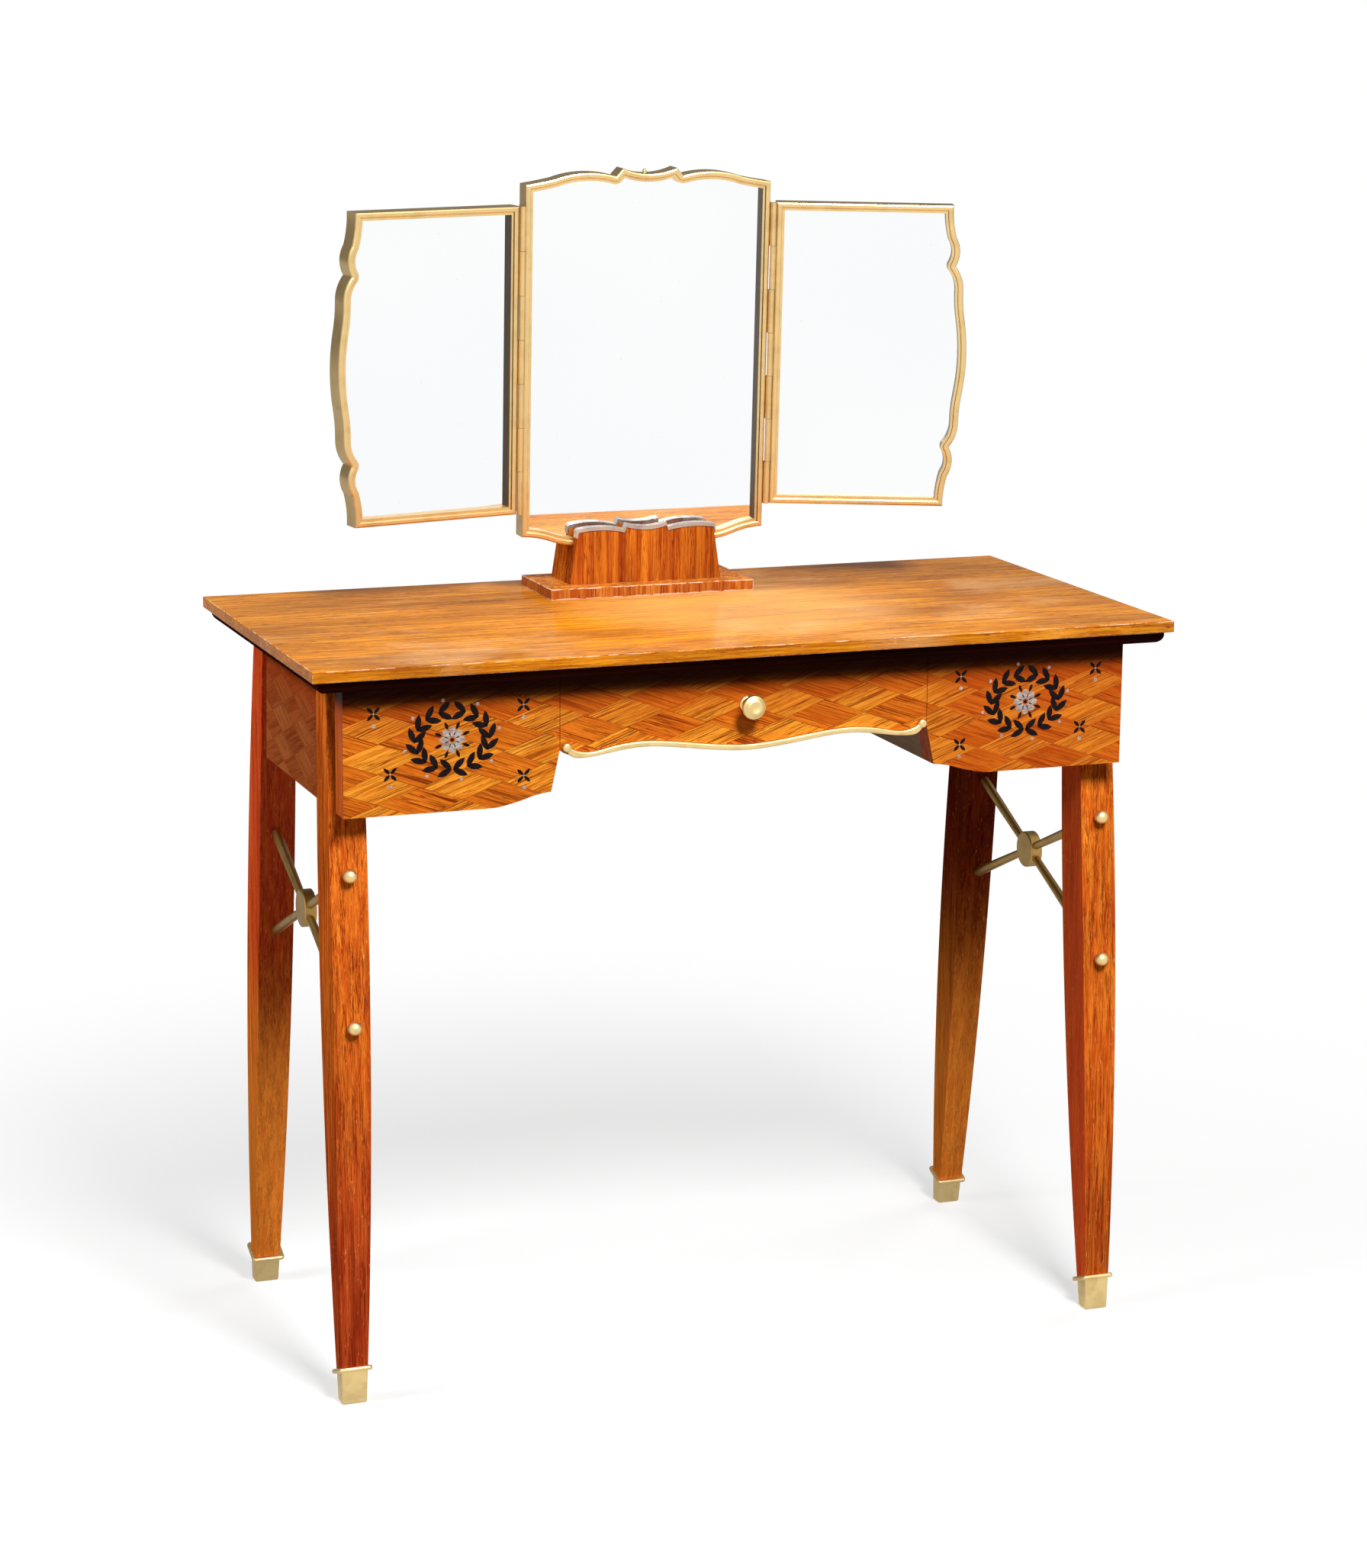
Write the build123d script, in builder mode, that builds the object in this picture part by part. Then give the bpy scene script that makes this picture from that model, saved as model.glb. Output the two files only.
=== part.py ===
from build123d import *

import os
from math import atan, cos, degrees, radians, sin, sqrt, tan

# Poudreuse dressing table: a three-drawer table on raked legs, with a folding triple mirror.
# Frame: millimetres, +X to the sitter's right as seen from the front, -Y towards the sitter, +Z up.
# The origin is on the floor under the centre of the table top.

# ---------------------------------------------------------------- driving dimensions
# table top and the dark moulding under it
top_width = 900.0
top_depth = 443.0
top_height = 745.0
top_thickness = 11.5
top_edge_ease = 1.2
moulding_height = 12.5
moulding_setback_side = 7.0
moulding_setback_front = 8.5
moulding_width = 40.0
moulding_round = 9.0

# legs: every long edge is an arc through a foot, a middle and a top value
leg_side_setback_foot = 30.7
leg_side_setback_middle = 29.0
leg_side_setback_top = 33.7
leg_width_foot = 25.3
leg_width_middle = 37.0
leg_width_top = 35.0
leg_end_setback_foot = 38.5
leg_end_setback_middle = 47.0
leg_end_setback_top = 80.5
leg_depth_foot = 16.5
leg_depth_middle = 48.1
leg_depth_top = 34.5
leg_edge_ease = 1.0
back_leg_foot_shift = 21.0
back_leg_top_shift = -1.4
back_leg_gather = 4.5

# sabots
sabot_level = 32.5
sabot_collar_slope = 21.5
sabot_collar_thickness = 4.8
sabot_collar_overhang = 4.2
sabot_wall = 1.6
sabot_floor = 3.0
sabot_edge_round = 2.0

# case and fronts
front_setback = 37.3
front_thickness = 27.0
front_top_gap = 1.5
front_end_inset = 4.8
front_height = 125.9
front_corner_rise = 12.2
front_slant_height = 40.2
front_slant_reach = 8.9
front_curve_start = 71.9
front_curve_end = 19.9
seam_half_width = 194.1
seam_gap = 0.6
partition_setback = 0.5
panel_thickness = 8.0
panel_inset = 4.5
panel_tenon = 6.0
end_panel_tenon = 12.0
board_thickness = 6.0
notch_gap = 0.3
back_panel_inset = 5.6
centre_bay_rise = 5.5
shadow_gap = 0.4

# serpentine lower edge of the centre front: heights from the top of the slanted corner
apron_centre_drop = 8.3
apron_crest_rise = 1.8
apron_valley_drop = 4.9
apron_end_rise = 3.5
apron_end_inset = 6.0
apron_bar = 6.0
apron_projection = 5.0
apron_round = 1.8
apron_ball = 9.4
apron_scroll_rise = 1.6

# drawer boxes
drawer_side_thickness = 8.0
drawer_bottom_thickness = 4.0
drawer_groove_depth = 4.0
drawer_bottom_lift = 4.0
drawer_side_gap = 0.7
drawer_floor_gap = 0.3
drawer_end_gap = 17.2
drawer_head_gap = 14.9
drawer_back_drop = 4.0
guide_height = 20.0
stop_height = 14.0
stop_width = 60.0

# knob
knob_radius = 12.3
knob_length = 24.8
knob_neck_radius = 5.2
knob_base_radius = 8.2
knob_rise = 34.5
knob_screw_radius = 2.0
knob_screw_head_radius = 4.0
knob_screw_head = 2.5
knob_screw_reach = 12.0
knob_screw_slot = 1.6

# cross stretchers
hub_drop = 260.0
hub_radius = 19.2
hub_length = 13.0
hub_round = 1.6
rod_slope = 23.3
rod_hub_radius = 4.2
rod_leg_radius = 5.2
rod_tip_round = 2.0
rod_shank_radius = 2.6
rod_socket = 8.0
rod_fit = 0.02
shank_clearance = 0.05
ball_radius = 7.2
ball_seat = 6.4
ball_thread = 6.5

# mirror stand: places front to back are measured from the mirror's foot
mirror_setback = 101.5
plinth_half_width = 112.5
plinth_front_reach = 32.0
plinth_back_reach = 69.0
plinth_height = 11.0
plinth_ease = 0.8
block_front_reach = 10.5
block_back_reach = 54.0
block_half_bottom = 84.0
block_half_top = 75.5
block_rise = 65.6
block_arch_rise = 1.9
block_step_at = 24.4
block_step_top_at = 22.2
block_step_drop = 1.8
block_step_rise = 3.9
block_dip_rise = 0.6
slot_clearance = 0.3
flute_depth = 2.6
cap_thickness = 4.0
cap_lip = 6.0
cap_overhang = 1.2

# mirrors
mirror_rise = 62.0
mirror_lean = 2.35
mirror_half_width = 134.0
mirror_height = 364.0
mirror_sag = 12.5
frame_depth = 21.0
frame_width = 8.4
frame_bead = 5.8
frame_inner_step = 1.8
frame_outer_round = 1.8
frame_inner_round = 1.2
glass_inset = 4.2
glass_level = 9.0
glass_thickness = 4.0
backboard_thickness = 4.0
backboard_clearance = 0.3

# crest of the centre frame: rises are measured from the frame's upper corners
crest_shoulder_rise = 2.4
crest_arch_start = 103.0
crest_arch_start_rise = 5.4
crest_arch_at = 62.0
crest_arch_rise = 11.4
crest_step_at = 36.8
crest_step_low_rise = 7.6
crest_step_top_at = 29.4
crest_step_high_rise = 15.4
crest_dip_rise = 9.6

# wings: the outline is measured from the hinge axis and from the wing's own mid height
wing_foot = 24.6
wing_head_drop = 21.4
wing_corner = 188.2
wing_waist = 189.0
wing_waist_at = 141.0
wing_turn = 192.0
wing_turn_at = 126.0
wing_lobe = 196.4
wing_lobe_at = 110.5
wing_cusp = 192.4
wing_cusp_at = 95.5
wing_shoulder = 201.4
wing_shoulder_at = 70.0
wing_swell = 203.8
wing_swell_at = 40.0
wing_belly = 207.2
left_wing_open = 10.7
right_wing_open = 19.1

# piano hinges
hinge_gap = 3.2
hinge_proud = 1.0
hinge_radius = 2.9
hinge_pin_radius = 1.0
hinge_pin_clearance = 0.05
hinge_knuckles = 7
hinge_knuckle_gap = 0.4
hinge_leaf = 0.9
hinge_web = 1.8
hinge_leaf_margin = 1.5

# ---------------------------------------------------------------- values that follow
top_underside = top_height - top_thickness
case_top = top_underside - moulding_height
moulding_half_x = top_width / 2 - moulding_setback_side
moulding_half_y = top_depth / 2 - moulding_setback_front

leg_middle_level = case_top / 2
leg_outer_foot = top_width / 2 - leg_side_setback_foot
leg_outer_middle = top_width / 2 - leg_side_setback_middle
leg_outer_top = top_width / 2 - leg_side_setback_top
leg_inner_foot = leg_outer_foot - leg_width_foot
leg_inner_middle = leg_outer_middle - leg_width_middle
leg_inner_top = leg_outer_top - leg_width_top
leg_far_foot = top_depth / 2 - leg_end_setback_foot
leg_far_middle = top_depth / 2 - leg_end_setback_middle
leg_far_top = top_depth / 2 - leg_end_setback_top
leg_near_foot = leg_far_foot - leg_depth_foot
leg_near_middle = leg_far_middle - leg_depth_middle
leg_near_top = leg_far_top - leg_depth_top

front_face = top_depth / 2 - front_setback
front_back = front_face - front_thickness
front_top = case_top - front_top_gap
front_bottom = front_top - front_height
front_inner_bottom = front_bottom + front_corner_rise
front_half_width = leg_outer_top - front_end_inset
front_inner_corner = seam_half_width + front_slant_reach
slant_top = front_inner_bottom + front_slant_height
partition_half_width = seam_half_width + partition_setback
curve_start = seam_half_width + front_curve_start
curve_end = seam_half_width + front_curve_end
centre_bay_bottom = slant_top + centre_bay_rise
panel_face = leg_outer_top - panel_inset
panel_inner = panel_face - panel_thickness
end_panel_reach = leg_near_top + end_panel_tenon
back_panel_face = leg_far_top + back_leg_top_shift - back_panel_inset
back_panel_inner = back_panel_face - panel_thickness
back_tenon_x = leg_inner_top + panel_tenon
side_floor = front_inner_bottom + board_thickness
centre_floor = centre_bay_bottom + board_thickness
drawer_back = back_panel_inner - drawer_end_gap + shadow_gap
drawer_depth = drawer_back + front_back
drawer_side_height = case_top - drawer_head_gap - side_floor - drawer_floor_gap
centre_drawer_side_height = case_top - drawer_head_gap - centre_floor - drawer_floor_gap

apron_centre = slant_top - apron_centre_drop
apron_crest = slant_top + apron_crest_rise
apron_valley = slant_top - apron_valley_drop
apron_end = slant_top + apron_end_rise
apron_crest_at = 0.595 * seam_half_width
apron_valley_at = 0.881 * seam_half_width
apron_end_at = seam_half_width - apron_end_inset
knob_level = slant_top + knob_rise
hub_level = case_top - hub_drop

mirror_front = top_depth / 2 - mirror_setback
mirror_level = top_height + mirror_rise
plinth_front = mirror_front - plinth_front_reach
plinth_back = mirror_front + plinth_back_reach
block_front = mirror_front - block_front_reach
block_back = mirror_front + block_back_reach
block_foot = top_height + plinth_height
block_top = top_height + block_rise
block_step_low = block_top - block_step_drop
block_step_high = block_top + block_step_rise
block_dip = block_top + block_dip_rise
crest_arch_start_height = mirror_height + crest_arch_start_rise
crest_arch_height = mirror_height + crest_arch_rise
crest_step_low = mirror_height + crest_step_low_rise
crest_step_high = mirror_height + crest_step_high_rise
crest_dip = mirror_height + crest_dip_rise
hinge_axis = mirror_half_width + hinge_gap
wing_side = hinge_gap
wing_half_height = (mirror_height - wing_foot - wing_head_drop) / 2
wing_middle = wing_foot + wing_half_height
up_lean = radians(mirror_lean)
mirror_normal = Vector(0, -cos(up_lean), -sin(up_lean))
mirror_plane = Plane(origin=(0, mirror_front, mirror_level), x_dir=(1, 0, 0), z_dir=mirror_normal)

os.makedirs("parts", exist_ok=True)


def save(piece, name):
    """Label a finished piece and write it as the STEP file of its own node."""
    piece.label = name
    export_step(piece, f"parts/{name}.step")
    return piece


def joined(solids):
    """Several separate solids that share one node."""
    return Compound(children=list(solids))


# ---------------------------------------------------------------- arcs of the legs
def arc_value(foot, middle, top, level):
    """Height-dependent place on the arc through three points at floor, middle level and case top."""
    z1, z2, z3 = 0.0, leg_middle_level, case_top
    x1, x2, x3 = foot, middle, top
    d = 2 * (x1 * (z2 - z3) + x2 * (z3 - z1) + x3 * (z1 - z2))
    a, b, c = x1 * x1 + z1 * z1, x2 * x2 + z2 * z2, x3 * x3 + z3 * z3
    cx = (a * (z2 - z3) + b * (z3 - z1) + c * (z1 - z2)) / d
    cz = (a * (x3 - x2) + b * (x1 - x3) + c * (x2 - x1)) / d
    reach = sqrt((x1 - cx) ** 2 + (z1 - cz) ** 2 - (level - cz) ** 2)
    return cx + reach if x1 > cx else cx - reach


def along_leg(side_y, values, shifts, level):
    """Value at a level on the arc through three edge values, the back legs' values being shifted."""
    if side_y > 0:
        low, high = shifts
        middle = low + (high - low) * leg_middle_level / case_top
        values = [value + shift for value, shift in zip(values, (low, middle, high))]
    return arc_value(*values, level)


def leg_y(side_y, edge, level):
    """Y of a leg's face at a level: the "far" face looks away from the table's middle, "near" into it."""
    values = (leg_near_foot, leg_near_middle, leg_near_top)
    if edge == "far":
        values = (leg_far_foot, leg_far_middle, leg_far_top)
    return side_y * along_leg(side_y, values, (back_leg_foot_shift, back_leg_top_shift), level)


def leg_x(side_y, edge, level):
    """Distance from the table's middle plane to a leg's outer or inner face at a level."""
    values = (leg_inner_foot, leg_inner_middle, leg_inner_top)
    if edge == "outer":
        values = (leg_outer_foot, leg_outer_middle, leg_outer_top)
    return along_leg(side_y, values, (-back_leg_gather, 0.0), level)


def leg_outline(first, second):
    """Closed outline between two leg edges; each edge is a function of the level."""
    levels = (0.0, leg_middle_level, case_top)
    a = [(first(z), z) for z in levels]
    b = [(second(z), z) for z in levels]
    ThreePointArc(*a)
    Line(a[-1], b[-1])
    ThreePointArc(*reversed(b))
    Line(b[0], a[0])


def leg_blank(side_x, side_y):
    """The whole tapering post from the floor to the case top, before the foot is cut for its sabot."""
    with BuildPart() as blank:
        with BuildSketch(Plane.YZ):
            with BuildLine():
                leg_outline(
                    lambda z: leg_y(side_y, "far", z),
                    lambda z: leg_y(side_y, "near", z),
                )
            make_face()
        extrude(amount=side_x * top_width)
        with BuildSketch(Plane.XZ):
            with BuildLine():
                leg_outline(
                    lambda z: side_x * leg_x(side_y, "outer", z),
                    lambda z: side_x * leg_x(side_y, "inner", z),
                )
            make_face()
        extrude(amount=top_depth, both=True, mode=Mode.INTERSECT)
    return blank.part


# ---------------------------------------------------------------- stretcher lines
stretcher_x = (leg_x(-1, "outer", hub_level) + leg_x(-1, "inner", hub_level)) / 2
rod_angle = radians(rod_slope)


def rod_axis(side_x, side_y, rise, distance):
    """Plane square to a rod at a distance from the hub centre, its normal pointing away from the hub."""
    along = Vector(0, side_y * cos(rod_angle), rise * sin(rod_angle))
    origin = Vector(side_x * stretcher_x, 0, hub_level) + along * distance
    return Plane(origin=origin, x_dir=(1, 0, 0), z_dir=along)


def rod_meets(side_y, rise, edge):
    """Distance along a rod at which its axis passes a leg face, and the face's slope there in degrees."""
    y = side_y * leg_near_middle
    for _ in range(20):
        level = hub_level + rise * tan(rod_angle) * abs(y)
        y = leg_y(side_y, edge, level)
    lean = (leg_y(side_y, edge, level + 1) - leg_y(side_y, edge, level - 1)) / 2 * side_y
    return abs(y) / cos(rod_angle), degrees(atan(lean))


# ---------------------------------------------------------------- top, moulding and core panel
with BuildPart() as top_board:
    with Locations((0, 0, top_height - top_thickness / 2)):
        Box(top_width, top_depth, top_thickness)
    fillet(top_board.edges(), radius=top_edge_ease)
save(top_board.part, "top_board")


def moulding_strip(across, along, turned):
    """A mitred strip whose outer face stands at "across" and whose long edge runs from -along to +along."""
    inner = across - (moulding_width if across > 0 else -moulding_width)
    short = along - moulding_width
    corners = [(along, across), (short, inner), (-short, inner), (-along, across)]
    if turned:
        corners = [(y, x) for x, y in corners]
    with BuildPart() as strip:
        with BuildSketch(Plane.XY.offset(case_top)):
            with BuildLine():
                Polyline(*corners, close=True)
            make_face()
        extrude(amount=moulding_height)
        lowest = strip.edges().group_by(Axis.Z)[0]
        fillet(lowest.sort_by(SortBy.LENGTH)[-1], radius=moulding_round)
    return strip.part


save(moulding_strip(-moulding_half_y, moulding_half_x, False), "moulding_front")
save(moulding_strip(moulding_half_y, moulding_half_x, False), "moulding_back")
end_strips = [moulding_strip(side * moulding_half_x, moulding_half_y, True) for side in (-1, 1)]
save(joined(end_strips), "moulding_ends")

subtop_half_x = moulding_half_x - moulding_width
subtop_half_y = moulding_half_y - moulding_width
with BuildPart() as subtop_panel:
    with Locations((0, 0, case_top + moulding_height / 2)):
        Box(2 * subtop_half_x, 2 * subtop_half_y, moulding_height)
save(subtop_panel.part, "subtop_panel")


# ---------------------------------------------------------------- carcase panels
carcase_outline = [
    (partition_half_width, case_top),
    (partition_half_width, slant_top),
    (front_inner_corner, front_inner_bottom),
]
end_panel_middle = (panel_face + panel_inner) / 2
end_panel_centre = (front_bottom + case_top) / 2


def partition_x(level):
    """Distance from the middle plane to a partition's drawer-bay face at a level."""
    slope = (front_inner_corner - partition_half_width) / (slant_top - front_inner_bottom)
    return partition_half_width + panel_thickness + slope * max(0.0, slant_top - level)


def end_panel(side):
    """Veneered end of the case, let into both legs of its side."""
    with BuildPart() as panel:
        with Locations((side * end_panel_middle, 0, end_panel_centre)):
            Box(panel_thickness, 2 * end_panel_reach, case_top - front_bottom)
    return panel.part


def partition(side):
    """Inner wall of a side drawer bay; its lower part slants like the front's inner edge."""
    with BuildPart() as wall:
        with BuildSketch(Plane.XZ.offset(front_back - shadow_gap)):
            with BuildLine():
                kneehole_side = [(side * x, z) for x, z in carcase_outline]
                bay_side = [(side * partition_x(z), z) for x, z in reversed(carcase_outline)]
                Polyline(*kneehole_side, *bay_side, close=True)
            make_face()
        extrude(amount=-(front_back - shadow_gap + back_panel_inner))
    return wall.part


with BuildPart() as back_panel:
    with BuildSketch(Plane.XZ.offset(-back_panel_face)):
        with BuildLine():
            half = [
                (back_tenon_x, case_top),
                (back_tenon_x, front_inner_bottom),
                (front_inner_corner, front_inner_bottom),
                (partition_half_width, slant_top),
                (partition_half_width, centre_bay_bottom),
            ]
            Polyline(*half, *[(-x, z) for x, z in reversed(half)], close=True)
        make_face()
    extrude(amount=panel_thickness)
save(back_panel.part, "back_panel")


def bay_bottom(side):
    """Floor board of a side drawer bay, notched round the legs."""
    top = front_inner_bottom + board_thickness
    with BuildPart() as board:
        with BuildSketch(Plane.XZ.offset(front_back - shadow_gap)):
            with BuildLine():
                Polyline(
                    (side * partition_x(front_inner_bottom), front_inner_bottom),
                    (side * partition_x(top), top),
                    (side * panel_inner, top),
                    (side * panel_inner, front_inner_bottom),
                    close=True,
                )
            make_face()
        extrude(amount=-(front_back - shadow_gap + back_panel_inner))
        for side_y in (-1, 1):
            corner_x = leg_x(side_y, "inner", front_inner_bottom) - notch_gap
            corner_y = leg_y(side_y, "near", top) - side_y * notch_gap
            middle = (side * (corner_x + moulding_width), corner_y + side_y * moulding_width, top)
            with Locations(middle):
                Box(2 * moulding_width, 2 * moulding_width, 4 * board_thickness, mode=Mode.SUBTRACT)
    return board.part


with BuildPart() as bay_bottom_centre:
    middle_y = (back_panel_inner - front_back + shadow_gap) / 2
    with Locations((0, middle_y, centre_bay_bottom + board_thickness / 2)):
        Box(2 * partition_half_width, back_panel_inner + front_back - shadow_gap, board_thickness)
save(bay_bottom_centre.part, "bay_bottom_centre")

for side, word in ((-1, "left"), (1, "right")):
    save(end_panel(side), f"end_panel_{word}")
    save(partition(side), f"partition_{word}")
    save(bay_bottom(side), f"bay_bottom_{word}")


# ---------------------------------------------------------------- drawer guides and stops
drawer_outer_x = leg_x(1, "inner", side_floor) - drawer_side_gap
drawer_inner_x = partition_x(side_floor) + drawer_side_gap
centre_drawer_x = partition_half_width - drawer_side_gap


def block(x1, x2, y1, y2, z1, z2):
    """Rectangular piece between six planes."""
    with BuildPart() as piece:
        with Locations(((x1 + x2) / 2, (y1 + y2) / 2, (z1 + z2) / 2)):
            Box(abs(x2 - x1), abs(y2 - y1), abs(z2 - z1))
    return piece.part


guide_x = drawer_outer_x + drawer_floor_gap
guide_front = leg_y(-1, "near", side_floor + guide_height)
guide_back = leg_y(1, "near", side_floor + guide_height)
guides = [
    block(s * guide_x, s * panel_inner, guide_front, guide_back, side_floor, side_floor + guide_height)
    for s in (-1, 1)
]
save(joined(guides), "drawer_guides")

side_bay_middle = (drawer_inner_x + drawer_outer_x) / 2
stops = []
for x, floor in ((-side_bay_middle, side_floor), (0, centre_floor), (side_bay_middle, side_floor)):
    x1, x2 = x - stop_width / 2, x + stop_width / 2
    stops.append(block(x1, x2, drawer_back + drawer_floor_gap, back_panel_inner, floor, floor + stop_height))
save(joined(stops), "drawer_stops")


# ---------------------------------------------------------------- drawer fronts
def apron_points(drop):
    """Half of the serpentine line, from the centre outwards, lowered by "drop"."""
    climb = apron_crest - apron_centre
    return [
        (0.0, apron_centre - drop),
        (0.22 * apron_crest_at, apron_centre + 0.14 * climb - drop),
        (0.56 * apron_crest_at, apron_centre + 0.62 * climb - drop),
        (apron_crest_at, apron_crest - drop),
        ((apron_crest_at + apron_valley_at) / 2, (apron_crest + apron_valley) / 2 - drop),
        (apron_valley_at, apron_valley - drop),
    ]


def mirrored_row(points):
    """A row of points from the far left to the far right, from its right half that starts at x = 0."""
    return [(-x, z) for x, z in reversed(points[1:])] + points


def side_front(side):
    """Drawer front with a flat outer part and a curve rising to the kneehole corner."""
    rise = front_inner_bottom - front_bottom
    curve = [
        (curve_start, front_bottom),
        (curve_start - 0.40 * (curve_start - curve_end), front_bottom + 0.23 * rise),
        (curve_start - 0.62 * (curve_start - curve_end), front_bottom + 0.46 * rise),
        (curve_start - 0.84 * (curve_start - curve_end), front_bottom + 0.75 * rise),
        (curve_end, front_bottom + 0.9 * rise),
        (front_inner_corner, front_inner_bottom),
    ]
    seam = seam_half_width + seam_gap / 2
    with BuildPart() as front:
        with BuildSketch(Plane.XZ.offset(front_face)):
            with BuildLine():
                Line((side * front_half_width, front_top), (side * front_half_width, front_bottom))
                Line((side * front_half_width, front_bottom), (side * curve_start, front_bottom))
                Spline(*[(side * x, z) for x, z in curve], tangents=((-side, 0), (-side, 0.08)))
                Polyline(
                    (side * front_inner_corner, front_inner_bottom),
                    (side * seam, slant_top),
                    (side * seam, front_top),
                    (side * front_half_width, front_top),
                )
            make_face()
        extrude(amount=-front_thickness)
        x1, x2 = drawer_inner_x + drawer_groove_depth, drawer_outer_x - drawer_groove_depth
        low = side_floor + drawer_floor_gap + drawer_bottom_lift
        with Locations((side * (x1 + x2) / 2, -front_back, low + drawer_bottom_thickness / 2)):
            Box(x2 - x1, 2 * drawer_groove_depth, drawer_bottom_thickness, mode=Mode.SUBTRACT)
    return front.part


with BuildPart() as centre_drawer_front:
    with BuildSketch(Plane.XZ.offset(front_face)):
        with BuildLine():
            edge = seam_half_width - seam_gap / 2
            lower = mirrored_row(apron_points(apron_bar / 2 - 0.5))
            Spline(*lower, tangents=((1, 0), (1, 0)))
            for s in (-1, 1):
                valley = lower[-1][1]
                Spline(
                    (s * apron_valley_at, valley),
                    (s * (apron_valley_at + edge) / 2, valley + 0.25 * (slant_top - valley)),
                    (s * edge, slant_top),
                    tangents=((s, 0), (s, 0.9)),
                )
                Line((s * edge, slant_top), (s * edge, front_top))
            Line((-edge, front_top), (edge, front_top))
        make_face()
    extrude(amount=-front_thickness)
    low = centre_floor + drawer_floor_gap + drawer_bottom_lift
    with Locations((0, -front_back, low + drawer_bottom_thickness / 2)):
        groove_half = centre_drawer_x - drawer_groove_depth
        Box(2 * groove_half, 2 * drawer_groove_depth, drawer_bottom_thickness, mode=Mode.SUBTRACT)
    with Locations(Plane(origin=(0, -front_back, knob_level), z_dir=(0, -1, 0))):
        Cylinder(knob_screw_radius, 3 * front_thickness, mode=Mode.SUBTRACT)
save(centre_drawer_front.part, "centre_drawer_front")

for side, word in ((-1, "left"), (1, "right")):
    save(side_front(side), f"{word}_drawer_front")


# ---------------------------------------------------------------- drawer boxes
def drawer_box(x1, x2, floor, height, word):
    """Two grooved sides, a back that stands on the bottom board, and the bottom board itself."""
    low = floor + drawer_floor_gap
    bottom_low = low + drawer_bottom_lift
    bottom_high = bottom_low + drawer_bottom_thickness
    side_a, side_b = x1 + drawer_side_thickness, x2 - drawer_side_thickness
    groove_a, groove_b = x1 + drawer_groove_depth, x2 - drawer_groove_depth
    sides = []
    for outer, inner, groove in ((x1, side_a, groove_a), (x2, side_b, groove_b)):
        with BuildPart() as wall:
            with Locations(((outer + inner) / 2, (drawer_back - front_back) / 2, low + height / 2)):
                Box(drawer_side_thickness, drawer_depth, height)
            with Locations(((groove + inner) / 2, 0, (bottom_low + bottom_high) / 2)):
                Box(drawer_groove_depth, 2 * drawer_depth, drawer_bottom_thickness, mode=Mode.SUBTRACT)
        sides.append(wall.part)
    save(joined(sides), f"{word}_drawer_sides")
    back_y = drawer_back - drawer_side_thickness
    back_top = low + height - drawer_back_drop
    save(block(side_a, side_b, back_y, drawer_back, bottom_high, back_top), f"{word}_drawer_back")
    bottom_front = -front_back - drawer_groove_depth
    bottom = block(groove_a, groove_b, bottom_front, drawer_back, bottom_low, bottom_high)
    save(bottom, f"{word}_drawer_bottom")


drawer_box(-drawer_outer_x, -drawer_inner_x, side_floor, drawer_side_height, "left")
drawer_box(-centre_drawer_x, centre_drawer_x, centre_floor, centre_drawer_side_height, "centre")
drawer_box(drawer_inner_x, drawer_outer_x, side_floor, drawer_side_height, "right")


# ---------------------------------------------------------------- knob and apron moulding
def knob_at(reach, radius):
    """Point of the knob's profile: a share of its length out from the front, and a radius."""
    return (-front_face - reach * knob_length, knob_level + radius)


with BuildPart() as knob:
    with BuildSketch(Plane.YZ):
        with BuildLine():
            foot = knob_at(0, knob_base_radius)
            collar = knob_at(0.11, 1.15 * knob_neck_radius)
            shoulder = knob_at(0.7, 0.94 * knob_radius)
            rim = knob_at(0.88, 0.92 * knob_radius)
            dish = knob_at(0.96, 0)
            Line(knob_at(0, 0), foot)
            ThreePointArc(foot, knob_at(0.08, 0.92 * knob_base_radius), collar)
            Spline(
                collar,
                knob_at(0.34, knob_neck_radius),
                knob_at(0.58, 0.64 * knob_radius),
                shoulder,
                tangents=((-1, -0.4), (-0.25, 1)),
            )
            ThreePointArc(shoulder, knob_at(0.79, knob_radius), rim)
            Spline(rim, knob_at(1, 0.52 * knob_radius), dish, tangents=((-0.6, -1), (0, -1)))
            Line(dish, knob_at(0, 0))
        make_face()
    revolve(axis=Axis((0, 0, knob_level), (0, 1, 0)))
    with Locations(Plane(origin=(0, -front_face, knob_level), z_dir=(0, -1, 0))):
        Cylinder(knob_screw_radius, 2 * knob_screw_reach, mode=Mode.SUBTRACT)
save(knob.part, "knob")

with BuildPart() as knob_screw:
    with Locations(Plane(origin=(0, -front_back, knob_level), z_dir=(0, -1, 0))):
        shank_align = (Align.CENTER, Align.CENTER, Align.MIN)
        Cylinder(knob_screw_radius, front_thickness + knob_screw_reach, align=shank_align)
    with Locations(Plane(origin=(0, -front_back + knob_screw_head / 2, knob_level), z_dir=(0, -1, 0))):
        Cylinder(knob_screw_head_radius, knob_screw_head)
    with Locations((0, -front_back + knob_screw_head, knob_level)):
        Box(3 * knob_screw_head_radius, knob_screw_slot, knob_screw_slot, mode=Mode.SUBTRACT)
save(knob_screw.part, "knob_screw")

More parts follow.
